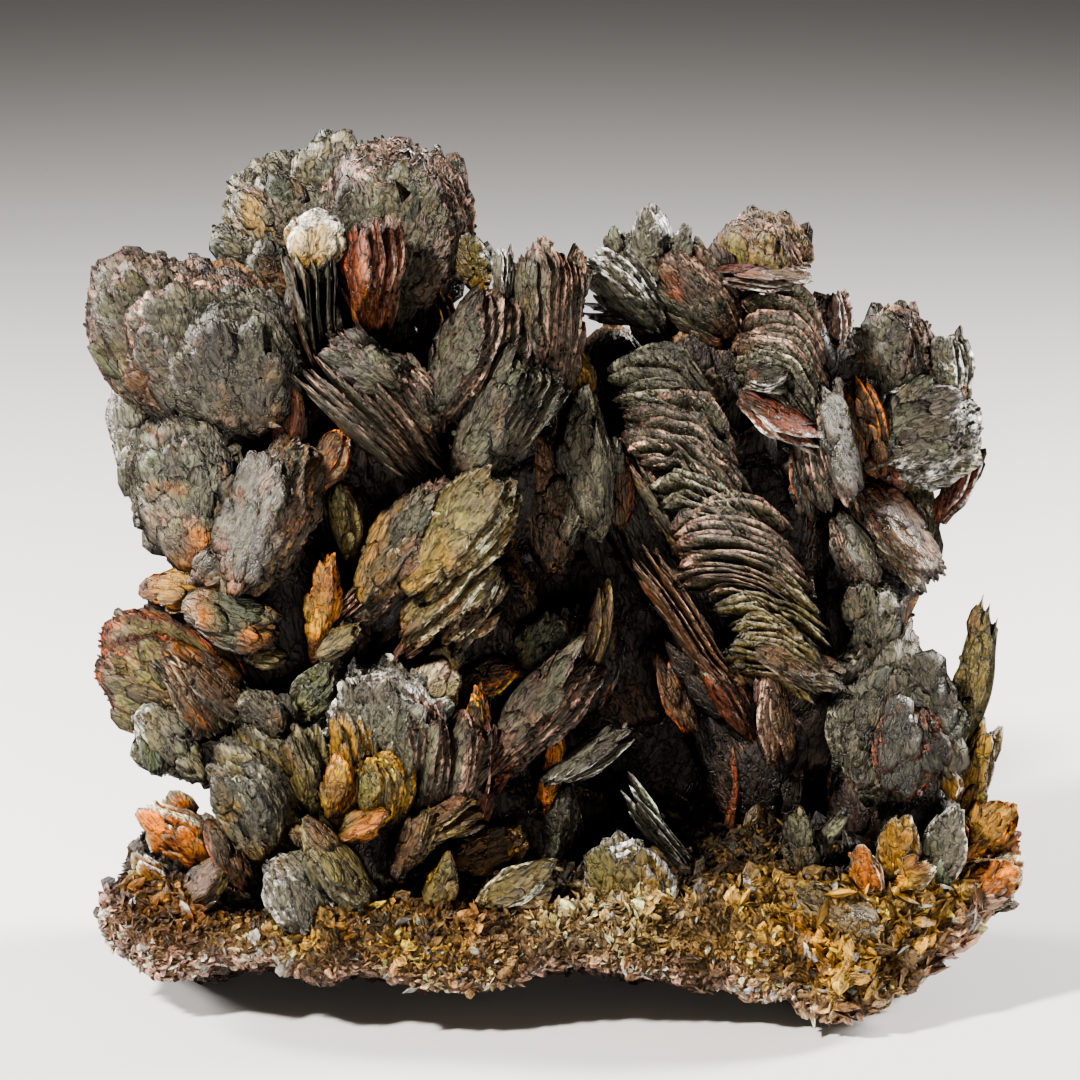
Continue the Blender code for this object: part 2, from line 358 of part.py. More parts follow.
def crust(rng):
    """The druse crust: a wavy, knobbly front that overhangs a flat foot."""
    rings = []
    for x, low, high, front, back in CRUST:
        place = max(0.0, min(1.0, (x - FOOT_LEFT) / (FOOT_RIGHT - FOOT_LEFT)))
        rim_low = seen(x, low, front)
        rim_high = seen(x, high, front + CRUST_SET_BACK)
        rim_low.z = max(rim_low.z, BASE_Z)
        face = []
        for share in CRUST_ROWS:
            point = rim_low.lerp(rim_high, share)
            bulge = CRUST_RIM_OUT * sin(pi * share)
            point.y -= bulge + rng.uniform(-CRUST_ROUGHNESS, CRUST_ROUGHNESS)
            point.x += rng.uniform(-CRUST_ROUGHNESS, CRUST_ROUGHNESS) / 2
            face.append(point)
        foot_x = FOOT_LEFT + (FOOT_RIGHT - FOOT_LEFT) * place
        if place in (0.0, 1.0):
            foot_x = x * FOOT_END_SHARE
        foot_front = min(FOOT_FRONT, back - FOOT_INSET)
        foot_back = max(min(FOOT_BACK, back - FOOT_INSET), foot_front + FOOT_LEAST)
        rise = rng.uniform(-CRUST_ROUGHNESS, CRUST_ROUGHNESS)
        ring = [Vector((foot_x, foot_front, BASE_Z)), rim_low]
        ring += face
        ring += [
            rim_high,
            Vector((x, (front + back) / 2, rim_high.z + CRUST_ROUGHNESS + rise)),
            Vector((x, back - CRUST_SET_BACK, rim_high.z + rise)),
            Vector((x, back + rise, (rim_high.z + BASE_Z) / 2)),
            Vector((foot_x, foot_back, BASE_Z)),
        ]
        rings.append(ring)
    verts = [point for ring in rings for point in ring]
    count = len(rings[0])
    faces = [tuple(range(count)), tuple(range(len(verts) - 1, len(verts) - 1 - count, -1))]
    for k in range(len(rings) - 1):
        for i in range(count):
            j = (i + 1) % count
            a, b = k * count, (k + 1) * count
            faces.append((a + i, b + i, b + j, a + j))
    return verts, faces


def mesh_object(name, verts, faces):
    mesh = bpy.data.meshes.new(name)
    mesh.from_pydata([v * MM for v in verts], [], faces)
    bm = bmesh.new()
    bm.from_mesh(mesh)
    bmesh.ops.triangulate(bm, faces=[f for f in bm.faces if len(f.verts) == 4])
    bmesh.ops.recalc_face_normals(bm, faces=bm.faces)
    bm.to_mesh(mesh)
    bm.free()
    obj = bpy.data.objects.new(name, mesh)
    return obj


def joined(base, others):
    """The union of all the pieces, as one mesh."""
    group = bpy.data.collections.new("pieces")
    for other in others:
        group.objects.link(other)
    union = base.modifiers.new("grown_together", "BOOLEAN")
    union.operation = "UNION"
    union.solver = "EXACT"
    union.operand_type = "COLLECTION"
    union.collection = group
    union.use_self = True
    bpy.context.scene.collection.objects.link(base)
    bpy.context.view_layer.update()
    graph = bpy.context.evaluated_depsgraph_get()
    mesh = bpy.data.meshes.new_from_object(base.evaluated_get(graph))
    base.modifiers.clear()
    for other in others:
        bpy.data.objects.remove(other)
    bpy.data.collections.remove(group)
    return mesh


def outer_skin(mesh):
    """Keeps the outer surface only: drops what closes off hollows inside the group."""
    bm = bmesh.new()
    bm.from_mesh(mesh)
    left = set(bm.faces)
    shells = []
    while left:
        stack = [left.pop()]
        shell = set(stack)
        while stack:
            face = stack.pop()
            for edge in face.edges:
                for other in edge.link_faces:
                    if other in left:
                        left.discard(other)
                        shell.add(other)
                        stack.append(other)
        shells.append(shell)
    shells.sort(key=len)
    for shell in shells[:-1]:
        bmesh.ops.delete(bm, geom=list(shell), context="FACES")
    bmesh.ops.dissolve_limit(bm, angle_limit=FLAT, verts=bm.verts, edges=bm.edges)
    bmesh.ops.triangulate(bm, faces=bm.faces)
    bm.to_mesh(mesh)
    bm.free()


def material():
    made = bpy.data.materials.new("descloizite")
    made.use_nodes = True
    shader = made.node_tree.nodes["Principled BSDF"]
    shader.inputs["Base Color"].default_value = COLOUR
    shader.inputs["Roughness"].default_value = ROUGHNESS
    return made


def main():
    for old in list(bpy.data.objects):
        bpy.data.objects.remove(old)
    rng = random.Random(SEED)
    pieces = []
    for table in (TRUNKS, BACK, LEFT_TOWER, LOWER_LEFT, RIGHT_TOWER, CRUST_LEAVES):
        for row in table:
            pieces.extend(aggregate(row, rng))
    others = [mesh_object(f"plate_{i}", *piece) for i, piece in enumerate(pieces)]
    base = mesh_object(NAME, *crust(rng))
    mesh = joined(base, others)
    outer_skin(mesh)
    mesh.transform(Matrix.Translation(Vector((SHIFT_X, SHIFT_Y, 0.0)) * MM))
    base.data = mesh
    thin = base.modifiers.new("fewer_triangles", "DECIMATE")
    thin.ratio = KEPT_TRIANGLES
    bpy.context.view_layer.update()
    graph = bpy.context.evaluated_depsgraph_get()
    mesh = bpy.data.meshes.new_from_object(base.evaluated_get(graph))
    base.modifiers.clear()
    base.data = mesh
    mesh.materials.clear()
    mesh.materials.append(material())


main()
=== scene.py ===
from itertools import count as counted
from math import cos, pi, radians, sin, sqrt

import bpy
import numpy as np
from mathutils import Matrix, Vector


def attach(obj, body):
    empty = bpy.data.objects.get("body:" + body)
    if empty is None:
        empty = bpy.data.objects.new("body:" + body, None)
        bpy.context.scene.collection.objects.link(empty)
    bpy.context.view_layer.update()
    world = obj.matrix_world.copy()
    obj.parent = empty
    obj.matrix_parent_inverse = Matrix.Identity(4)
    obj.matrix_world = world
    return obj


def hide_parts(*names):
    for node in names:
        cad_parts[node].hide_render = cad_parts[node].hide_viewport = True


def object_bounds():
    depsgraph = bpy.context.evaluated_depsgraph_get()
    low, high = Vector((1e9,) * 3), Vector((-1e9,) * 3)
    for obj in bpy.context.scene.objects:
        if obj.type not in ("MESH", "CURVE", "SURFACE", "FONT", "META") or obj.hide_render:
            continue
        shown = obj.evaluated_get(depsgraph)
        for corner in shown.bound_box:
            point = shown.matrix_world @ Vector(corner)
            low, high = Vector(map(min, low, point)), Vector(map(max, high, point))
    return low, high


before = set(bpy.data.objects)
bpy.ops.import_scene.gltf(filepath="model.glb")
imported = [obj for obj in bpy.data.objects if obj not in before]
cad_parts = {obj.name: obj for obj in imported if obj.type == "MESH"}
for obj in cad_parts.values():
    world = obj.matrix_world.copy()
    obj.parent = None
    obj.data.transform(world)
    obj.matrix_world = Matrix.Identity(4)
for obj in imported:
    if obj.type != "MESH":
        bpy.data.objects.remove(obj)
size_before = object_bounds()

NODE = "descloizite_crystal_group"
MM = 0.001

# Seed of all random draws, and the noise patterns that the aggregates get in turn.
SEED = 11
FIRST_PATTERN = 107
PATTERN_STEP = 7

# The front view that the tables are measured in, and the shift that centres the group.
VIEW_RISE = radians(13.0)
VIEW_DISTANCE = 380.0
VIEW_CENTRE_X = -0.935
VIEW_CENTRE_Z = 41.9
VIEW_TARGET = np.array([VIEW_CENTRE_X, 0.0, 39.06])
VIEW_FORWARD = np.array([0.0, cos(VIEW_RISE), -sin(VIEW_RISE)])
VIEW_UP = np.array([0.0, sin(VIEW_RISE), cos(VIEW_RISE)])
SHIFT = np.array([0.27, -1.52, 0.0])

# The box of the solid, and how far past it crystals may stand at its low and high corner.
BOX_SLACK = np.array([[-0.7, -0.7, 0.0], [0.7, 0.8, 0.6]])
BOX = np.array(size_before) / MM + BOX_SLACK

# From here on lengths are in millimetres and angles in degrees, and most other values are
# shares; two values together are the least and the most, or a middle and its spread. Layers:
# their gap in a stack, how they vary, the segments of their outlines, and how far out and how
# high each ring of a layer's points lies.
LAYER_GAP = 0.40
LAYER_HALF = (0.5, 0.85)
LAYER_SIZE = (0.82, 1.01)
LAYER_WIDTH = (0.92, 1.0)
LAYER_TONE = (0.85, 1.15)
LAYER_TILT = 1.6
LAYER_SWING = 2.5
SEGMENT = 0.70
TEETH = 0.045
RING_SHARES = (0.66, 1.0, 0.66)
RING_HEIGHTS = (-0.8, 0.0, 0.8)
RING_JITTER = 0.02

# How a stack's layers spread at the root, shrink towards its faces and slip on each other.
FAN_SPREAD = 0.6
OUTER_SHRINK = 0.6
ROOT_TAPER = 0.25
SLIP = 0.06
SLIP_OF_LOOSE = 0.12
SLIP_OF_COARSE = 0.03
SLIP_BACK = -0.3
SLIP_SPREAD = 0.7

# Loose sheaves, with a cover of -1 in the tables: thinner, more pointed, no edge crystals.
LOOSE_COVER = 0.35
LOOSE_THICK = 0.75
LOOSE_POINT = 0.5

# The folds, waves and bulge that the layers of one aggregate share, and its outline's lobes.
FACE_ON = 60
FOLDS_FACE_ON = (0.5, 0.9)
FOLDS_EDGE_ON = (0.2, 0.4)
FOLD_TURNS = 7
FOLD_LENGTH = 9
FOLD_SOURCE = 1.4
WAVE_LENGTH = 2.6
WAVE_HEIGHT = 0.16
BULGE = 0.10
LOBES = ((np.array([1.3, 1.3, 0.8]), 0.12), (np.array([3.6, 3.6, 3.0]), 0.07))
LOBE_INSET = 0.04

# Domes, with a step of at least DOME_STEP in the tables: steep cupped layers one above another.
DOME_STEP = 0.3
DOME_GAP = 0.58
DOME_TILT = 50.0
DOME_TILT_RISE = 18
DOME_TILT_SPREAD = 3
DOME_DROOP = (-0.14, 0.07)
DOME_ROUND = 0.72
DOME_LEAST = 0.2
DOME_WIDE = 1.14
DOME_WIDTHS = (0.88, 1.03)
DOME_FOLD = 0.6
DOME_SAG = 0.24
DOME_SAG_LEVEL = 0.3
DOME_HALF = 1.2

# Small crystals along the layers' edges and on the outer faces.
EDGE_CRYSTALS = 0.35
EDGE_CRYSTALS_OF_DOME = 0.1
RIM_STEP = 0.42
RIM_ROOT = -0.7
RIM_JITTER = 0.16
SCALE_LONG = 0.55
SCALE_WIDE = 0.36
SCALE_THICK = 0.14
SCALE_JITTER = 0.08
FACE_DENSITY = 0.5
FACE_REACH = 0.95
FACE_SOURCE = 1.25
CRYSTAL_REACH = 0.55

# Thin overlapping plates on the outer faces; PLATE_HEM scales their edge colour, painted
# highlight included.
PLATE_DENSITY = 0.72
PLATE_REACH = 0.84
PLATE_CORNERS = 9
PLATE_LONG = 1.6
PLATE_WIDE = (0.45, 0.95)
PLATE_THICK = (0.05, 0.12)
PLATE_INNER = 0.62
PLATE_HEM = 0.6
PLATE_MOST = (0.45, 0.55)

# The back and the inner growth have crystals COARSE times as large; the last three values
# are the most that segments, edge crystals and face crystals grow by.
COARSE = 2.2
COARSE_SWING = 6
COARSE_SEGMENT = 1.6
COARSE_RIM = 1.5
COARSE_FACE = 1.7

# Inner growth: its size against the table, and what follows the first nine columns; its dark
# umber and brown are painted shade for the shadowed inside.
TRUNK_SIZE = 0.92
TRUNK_REST = (0, 0, 0, 0.7, "umber", "brown", "umber")

# What can't be seen from any of these sides, given by turn and rise, is left out.
FRONT_WAYS = ((0, 13), (-14, 4), (14, 4), (0, 88))
ROUND_RISES = (6, 38)
ROUND_STEP = 45
VIEW_CELL = 0.7
VIEW_CELLS = 200
HIDDEN_PAST = 0.75

# Sizes of the patches of colour in millimetres, GLINT being the patches of painted highlight on
# the layers' edges, and how strong the mottling is.
PATCH = 3.5
STAIN = 2.1
SPOT = 0.9
GLINT = 1.3
MOTTLE = 0.25
GRAIN_SHIFT = 20

TONES = {
    "grey": (0.058, 0.051, 0.031),
    "light": (0.088, 0.080, 0.055),
    "dark": (0.034, 0.030, 0.019),
    "olive": (0.105, 0.080, 0.024),
    "green": (0.042, 0.046, 0.022),
    "honey": (0.22, 0.115, 0.014),
    "orange": (0.32, 0.098, 0.008),
    "rust": (0.125, 0.032, 0.010),
    "brown": (0.078, 0.040, 0.015),
    # umber: near black; painted shade on the inner growth and the back of the hollow, and a dark
    # root colour elsewhere.
    "umber": (0.018, 0.011, 0.007),
    "cream": (0.360, 0.300, 0.190),
    "pink": (0.165, 0.100, 0.074),
    # white: the rims' palest colour, partly painted highlight, and the druse's painted sparkle.
    "white": (0.430, 0.400, 0.350),
    "crust": (0.13, 0.075, 0.022),
    "druse_gold": (0.54, 0.32, 0.075),
    "druse_amber": (0.25, 0.14, 0.032),
    "druse_cream": (0.74, 0.60, 0.36),
    # druse_hem: pale pinkish band at the crust's lower edge, partly its own colour and partly
    # painted light.
    "druse_hem": (0.90, 0.57, 0.46),
}

# Columns: x and z seen from the front, depth; turn of the growth direction in the picture,
# its lean towards the viewer, roll of the layers (0 edge-on, 90 face-on); half length, half
# width and thickness; step towards the root per millimetre of thickness; fan between the
# outer layers; pointedness of the tip; cover of small crystals on the faces, or -1 for a
# loose sheaf; tone of the faces, of the rims and of the root.
LEFT_TOWER = (
    (-33.6, 59.9, 4, 112, 0, 76, 8.2, 7.1, 4.2, 0.25, 0, 0, 1, "grey", "pink", "olive"),
    (-30, 58.8, 1, 108, 5, 74, 7.3, 6.7, 4, 0.25, 0, 0, 1, "grey", "pink", "dark"),
    (-27, 57.2, -2.5, 104, 5, 72, 6.1, 6.1, 4.8, 0.25, 0, 0, 1, "dark", "grey", "brown"),
    (-34.4, 49.6, 5, 95, 0, 80, 10.6, 2.9, 1.6, 0, 0, 0.1, -1, "light", "white", "light"),
    (-30.2, 46.6, 0, 98, 5, 76, 6.6, 6.3, 5.6, 0.2, 0, 0, 1, "light", "grey", "orange"),
    (-21.6, 67.6, 8, 122, 0, 80, 8.5, 6.5, 3.8, 0.1, 0, 0.1, 0.35, "light", "light", "honey"),
    (-18.6, 72, 7, 92, 0, 80, 5.8, 4.5, 2.8, 0.1, 0, 0.1, 0.35, "light", "light", "olive"),
    (-12.6, 69.2, 4, 84, 0, 78, 8.1, 6.9, 6.2, 0.25, 0, 0, 1, "grey", "pink", "dark"),
    (-19.8, 67.8, -1, 80, 5, 76, 2.8, 2.7, 4.6, 0.2, 0, 0.1, -1, "cream", "white", "honey"),
    (-15.4, 64.4, -2.5, 84, 5, 28, 5.3, 3.1, 4.4, 0, 10, 0.1, 0.6, "rust", "pink", "orange"),
    (-20.2, 61, -1.5, 97, 0, 14, 6.1, 3.9, 3, 0, 12, 0.1, 0.6, "grey", "light", "rust"),
    (-15.2, 52.8, -4.5, 130, 5, 18, 8.5, 4.3, 5.4, 0, 14, 0.1, 0.8, "grey", "pink", "brown"),
    (-15.6, 56.6, -7.5, 146, 10, 66, 4.3, 2.5, 2, 0.1, 0, 0.2, 0.8, "light", "pink", "grey"),
    (-11.4, 54, -6, 122, 5, 62, 4.1, 1.8, 2.2, 0, 0, 0.2, 0.5, "grey", "pink", "rust"),
    (-0.5, 60.6, -4.5, 88, 0, 26, 6.8, 3.7, 5.6, 0, 8, 0, 0.8, "grey", "pink", "brown"),
    (-6.9, 57.4, -5.5, 60, 5, 28, 6.8, 3.9, 5, 0, 12, 0, 0.8, "grey", "pink", "dark"),
    (-4.6, 52.4, -7.5, 58, 5, 34, 6.7, 3.7, 4.8, 0, 10, 0, 0.8, "grey", "light", "brown"),
    (-4, 64.4, -3.5, 88, 0, 30, 2.9, 1.5, 1.5, 0, 0, 0.1, 0.5, "light", "white", "grey"),
    (-6.6, 65.2, 0.5, 108, 0, 72, 3.1, 2.1, 2, 0, 0, 0, -1, "olive", "grey", "honey"),
    (3.2, 48.2, -5, 92, 0, 66, 6.9, 2.6, 2.8, 0.1, 0, 0.1, -1, "grey", "light", "grey"),
    (-0.2, 46.2, -2.5, 94, 0, 58, 7.3, 3.3, 3.4, 0, 0, 0.1, -1, "brown", "brown", "umber"),
    (2.6, 55.4, -3, 100, 10, 60, 2.5, 1.9, 2, 0, 0, 0.2, -1, "honey", "olive", "orange"),
    (5.7, 47.4, -1.5, 91, 0, 50, 5.1, 1.7, 1.7, 0, 0, 0.2, -1, "brown", "rust", "brown"),
    (-22.2, 52.4, -3, 86, 5, 40, 4.3, 1.9, 2, 0, 0, 0.2, -1, "rust", "brown", "rust"),
    (-19, 48.9, -3.5, 58, 5, 50, 3.3, 1.7, 1.9, 0, 0, 0.2, -1, "brown", "orange", "brown"),
    (-24.2, 43.8, -5, 66, 5, 52, 7.7, 4.1, 5.4, 0.1, 8, 0.1, 1, "grey", "brown", "rust"),
    (-27.1, 40.6, -3.5, 84, 5, 60, 4.3, 1.4, 1.9, 0, 0, 0.2, 0.6, "brown", "light", "cream"),
    (-19.4, 36, -6, 80, 5, 58, 5.1, 1.7, 2.3, 0, 0, 0.3, -1, "honey", "orange", "rust"),
    (-17.7, 44, -2.5, 98, 5, 52, 4.3, 1.6, 2.3, 0, 0, 0.3, -1, "olive", "brown", "brown"),
    (-18.1, 33.6, -8, 40, 5, 30, 2.9, 1.6, 1.3, 0, 0, 0.3, -1, "olive", "olive", "rust"),
    (-12.6, 41.4, -6.5, 54, 5, 34, 7.3, 3.5, 4.2, 0, 8, 0.1, 1, "grey", "pink", "honey"),
    (-7.7, 42.8, -10, 50, 8, 42, 6.9, 3.7, 4.2, 0, 6, 0.1, 1, "olive", "cream", "honey"),
    (-9, 37.2, -8.5, 46, 5, 30, 6.5, 2.5, 2.4, 0, 0, 0.2, 1, "olive", "cream", "rust"),
    (-6.6, 36, -6.5, 52, 5, 32, 4.5, 2.1, 1.9, 0, 0, 0.2, 0.8, "brown", "cream", "brown"),
    (-26.2, 66.6, 8.5, 140, 0, 80, 3.6, 2.8, 2, 0.1, 0, 0.1, 0.35, "light", "light", "honey"),
)

LOWER_LEFT = (
    (-32.9, 30, -1, 145, 0, 66, 7.2, 6.3, 5.4, 0.15, 0, 0, 1, "olive", "rust", "grey"),
    (-29.4, 29.6, -5, -46, 10, 20, 5.1, 3.5, 5, 0, 10, 0.1, 0.3, "brown", "light", "orange"),
    (-32.4, 24.6, -4, -52, 5, 66, 4.5, 2.7, 3, 0.1, 0, 0.1, 0.8, "light", "white", "olive"),
    (-31.4, 37.9, -1, 8, 10, 40, 3.7, 2.3, 1.8, 0, 0, 0.2, -1, "honey", "orange", "rust"),
    (-26.8, 35.2, -4.5, -14, 10, 50, 4.7, 2.7, 3, 0, 0, 0.2, -1, "green", "brown", "orange"),
    (-24.2, 31.9, -4.5, -4, 5, 40, 2.3, 1.3, 1.5, 0, 0, 0.3, -1, "olive", "brown", "brown"),
    (-24.2, 20.6, -7, 122, 8, 48, 6.5, 5.1, 5.4, 0.1, 14, 0, 0.8, "olive", "light", "brown"),
    (-25.4, 19.2, -10.5, 108, 8, 62, 4.3, 3.3, 3.8, 0.1, 0, 0, 0.6, "grey", "light", "honey"),
    (-14.2, 27.2, -8.5, 86, 8, 72, 4.3, 5.9, 4.4, 0.2, 0, 0, 1, "light", "white", "brown"),
    (-9.2, 22.4, -9.5, 72, 8, 26, 5.5, 3.5, 5, 0, 16, 0.1, 0.4, "grey", "pink", "olive"),
    (-14.6, 20.6, -11, 82, 10, 42, 3.9, 2.5, 5.4, 0, 14, 0.3, 0.2, "olive", "honey", "brown"),
    (-18.3, 20.8, -12, 86, 8, 66, 3.3, 1.7, 2.4, 0, 0, 0.3, -1, "honey", "orange", "brown"),
    (-15.9, 17.9, -13.5, 30, 8, 36, 2.9, 1.5, 1.6, 0, 0, 0.3, -1, "orange", "honey", "olive"),
    (-18.1, 14.2, -14, -50, 8, 34, 4.9, 2.3, 2.8, 0, 8, 0.2, 0.3, "olive", "light", "brown"),
    (-21.4, 11.9, -13.5, -62, 8, 62, 3.4, 3, 3.4, 0.1, 0, 0, 0.6, "light", "white", "brown"),
    (-27.4, 15.4, -10, -56, 5, 44, 3.7, 1.8, 2, 0, 0, 0.2, -1, "brown", "rust", "brown"),
    (-9.4, 17.9, -12, 28, 8, 24, 4.1, 2.1, 2.4, 0, 8, 0.2, 0.3, "brown", "olive", "brown"),
    (-20.3, 28.8, -5.5, 62, 5, 68, 3.1, 2.3, 2.2, 0.1, 0, 0.1, -1, "green", "light", "olive"),
    (-1.2, 27.2, -7, 47, 5, 26, 8.5, 2.8, 3.4, 0, 8, 0.2, 0.7, "grey", "pink", "rust"),
    (3.6, 34.2, -4, 82, 5, 40, 4.7, 1.5, 1.6, 0, 0, 0.2, -1, "brown", "olive", "brown"),
    (0, 22.8, -5.5, 82, 5, 50, 4.3, 1.6, 1.7, 0, 0, 0.2, -1, "orange", "honey", "rust"),
    (3.4, 23.8, -7, 34, 5, 28, 5.3, 1.8, 1.9, 0, 0, 0.3, -1, "grey", "white", "dark"),
    (0.9, 18.2, -5.5, 78, 5, 44, 3.5, 1.8, 2.4, 0, 0, 0.2, -1, "dark", "grey", "dark"),
    (-0.8, 33, -3, 66, 5, 70, 3.3, 2.2, 1.8, 0, 0, 0, -1, "green", "grey", "olive"),
    (-5.2, 30.4, -4, 20, 5, 50, 2.9, 1.9, 2.2, 0, 0, 0.1, -1, "brown", "orange", "umber"),
    (-4.6, 34.2, 0.5, 80, 0, 64, 4.5, 3.3, 2.8, 0, 0, 0.1, -1, "umber", "brown", "umber"),
    (-9.6, 30, -6, 66, 5, 68, 3.3, 2.4, 3.2, 0, 0, 0.1, -1, "cream", "honey", "olive"),
    (-6.3, 26.4, -6.5, 86, 5, 62, 3.5, 1.5, 2, 0, 0, 0.2, -1, "brown", "orange", "brown"),
    (-20.8, 22.4, -9.5, 96, 8, 40, 5, 2.2, 3.4, 0, 10, 0.2, 0.4, "olive", "light", "brown"),
    (-17, 23.2, -10.5, 92, 8, 45, 4.6, 1.8, 3, 0, 8, 0.3, 0.4, "honey", "light", "rust"),
    (-12, 24.6, -10, 84, 8, 30, 4.6, 2.4, 3.6, 0, 12, 0.2, 0.5, "grey", "pink", "brown"),
    (-11.6, 16.2, -12.6, 60, 8, 40, 3.6, 1.6, 2.4, 0, 8, 0.3, 0.4, "brown", "olive", "umber"),
    (-24.5, 26.6, -7, 110, 5, 60, 3.2, 3, 2.4, 0, 12, 0.1, 0.6, "grey", "light", "brown"),
    (-6.6, 22, -8, 84, 5, 40, 5.4, 1.8, 2.6, 0, 8, 0.3, 0.4, "rust", "pink", "umber"),
)

RIGHT_TOWER = (
    (8.6, 66.8, 0, 90, 0, 68, 3.9, 1.7, 1.8, 0, 0, 0.5, 0.5, "light", "white", "grey"),
    (6.4, 65.6, 0.5, 112, 0, 64, 3, 1.4, 1.5, 0, 0, 0.4, 0.4, "light", "white", "grey"),
    (10.4, 65.8, 0.5, 74, 0, 64, 3, 1.4, 1.5, 0, 0, 0.4, 0.4, "light", "white", "grey"),
    (6.2, 63.2, -0.5, 134, 0, 42, 5.3, 2.3, 3, 0, 16, 0.3, 0.5, "grey", "white", "dark"),
    (6.8, 60.8, 2, 178, 0, 24, 4.1, 1.7, 1.5, 0, 0, 0.3, 0.4, "dark", "grey", "dark"),
    (12.6, 62.8, -1, 122, 5, 48, 4.9, 3.5, 4.8, 0.1, 12, 0.2, 0.8, "grey", "pink", "rust"),
    (17.7, 65.9, 0, 96, 5, 58, 3.7, 4.8, 4.8, 0.1, 0, 0, 1, "olive", "pink", "brown"),
    (18.3, 64.5, -3, 0, 5, 8, 4.3, 3.5, 1.4, 0, 0, 0, 0.8, "pink", "white", "rust"),
    (10.6, 56.2, -5, 86, 10, 66, 3.8, 5.2, 5.2, 0.35, 0, 0, 0.6, "grey", "light", "dark"),
    (12, 51.6, -7, 78, 10, 66, 3.9, 6, 5.4, 0.35, 0, 0, 0.6, "grey", "pink", "dark"),
    (14.2, 46.8, -8, 82, 10, 64, 3.4, 5.3, 4.6, 0.35, 0, 0, 0.6, "grey", "light", "dark"),
    (16.4, 42.2, -8.5, 96, 12, 64, 4.7, 6.7, 5.4, 0.3, 0, 0, 0.6, "grey", "pink", "olive"),
    (18.6, 37.6, -8.5, 94, 12, 64, 3.3, 5.3, 3.8, 0.3, 0, 0, 0.6, "olive", "light", "dark"),
    (19.2, 33, -8.5, 92, 12, 66, 3.1, 5.1, 3.2, 0.3, 0, 0, 0.6, "olive", "light", "brown"),
    (21.2, 31.2, -9.5, -20, 8, 34, 4.3, 2.1, 2, 0, 0, 0.2, 0.4, "brown", "light", "brown"),
    (20.2, 60, -4.5, 80, 10, 66, 4.1, 4.6, 5.2, 0.35, 0, 0, 0.6, "grey", "pink", "dark"),
    (20.6, 56.2, -5.5, 70, 10, 64, 3.5, 4.5, 4.6, 0.35, 0, 0, 0.6, "grey", "light", "dark"),
    (18.2, 55.6, -7, 8, 5, 44, 2.2, 1.4, 1.5, 0, 0, 0.2, -1, "dark", "white", "rust"),
    (19.5, 52.2, -8, -28, 8, 36, 4.2, 2, 2, 0, 0, 0.2, -1, "rust", "white", "dark"),
    (23.8, 50, -6.5, -76, 5, 46, 5.7, 2.5, 4.2, 0, 8, 0.2, 0.8, "grey", "pink", "light"),
    (21.7, 46.8, -6, -72, 5, 44, 3.6, 1.4, 1.7, 0, 0, 0.3, 0.4, "grey", "rust", "grey"),
    (9.3, 44.6, -4, 117, 5, 24, 5.9, 1.7, 1.6, 0, 0, 0.3, 0.5, "grey", "pink", "honey"),
    (11.8, 34.2, -5, 124, 5, 24, 9.3, 2.1, 2.2, 0, 0, 0.3, 0.5, "brown", "pink", "rust"),
    (15.2, 28.2, -4.5, 118, 5, 34, 4.5, 1.9, 2.2, 0, 10, 0.3, 0.3, "rust", "light", "rust"),
    (15, 20.8, 2.5, 92, 0, 40, 5.3, 1.6, 1.6, 0, 0, 0.3, -1, "rust", "brown", "umber"),
    (19.1, 26.8, -7.5, -84, 0, 44, 4.9, 1.7, 2, 0, 6, 0.3, 0.3, "brown", "pink", "brown"),
    (10.6, 28.9, 0, -70, 0, 40, 4.4, 1.6, 1.8, 0, 0, 0.3, -1, "brown", "rust", "umber"),
    (28.9, 57.4, 2, 96, 0, 70, 4.8, 3.5, 4.2, 0.15, 0, 0, 1, "grey", "pink", "dark"),
    (33.9, 56.1, 0.5, 86, 0, 46, 3.5, 1.8, 2.4, 0, 0, 0.1, 0.8, "grey", "white", "rust"),
    (31.4, 51.2, -1.5, 22, 8, 54, 5.7, 4.9, 5.4, 0.15, 10, 0, 0.6, "grey", "white", "dark"),
    (34.6, 46.2, -0.5, 62, 5, 40, 3.9, 1.6, 1.5, 0, 0, 0.2, -1, "rust", "white", "rust"),
    (24.2, 60, 0, 88, 0, 52, 3.4, 1.4, 2, 0, 0, 0.1, 0.6, "pink", "white", "rust"),
    (27, 50.8, -2.5, 100, 5, 50, 5.5, 2.1, 2.4, 0, 0, 0.2, -1, "brown", "orange", "rust"),
    (26, 41.1, -5.5, -63, 5, 46, 3.9, 1.7, 2.2, 0, 0, 0.2, 0.8, "grey", "pink", "dark"),
    (29.1, 43, -3.5, -54, 5, 44, 6.7, 2.9, 3.4, 0, 10, 0.3, 0.3, "brown", "light", "rust"),
    (27.2, 35.2, -6, 96, 5, 70, 4.1, 2.6, 3.2, 0.1, 0, 0, 1, "grey", "light", "dark"),
    (31.2, 43, 0, 96, 0, 50, 4.7, 1.7, 2.2, 0, 0, 0.1, 0.6, "grey", "olive", "dark"),
    (29.8, 48, 0.5, 100, 0, 68, 3.9, 2.5, 2.2, 0, 0, 0.1, 0.8, "olive", "grey", "dark"),
    (29.7, 25.6, -7.5, -86, 5, 78, 7.5, 7, 3.8, 0.2, 0, 0.2, 1, "grey", "light", "grey"),
    (30.3, 23.8, -9.8, -84, 5, 78, 4.5, 4.1, 2, 0.1, 0, 0.1, 0.5, "dark", "rust", "dark"),
    (35.8, 30, -5.2, 81, 0, 60, 8.5, 1.6, 1.5, 0, 0, 0.8, -1, "olive", "light", "olive"),
)

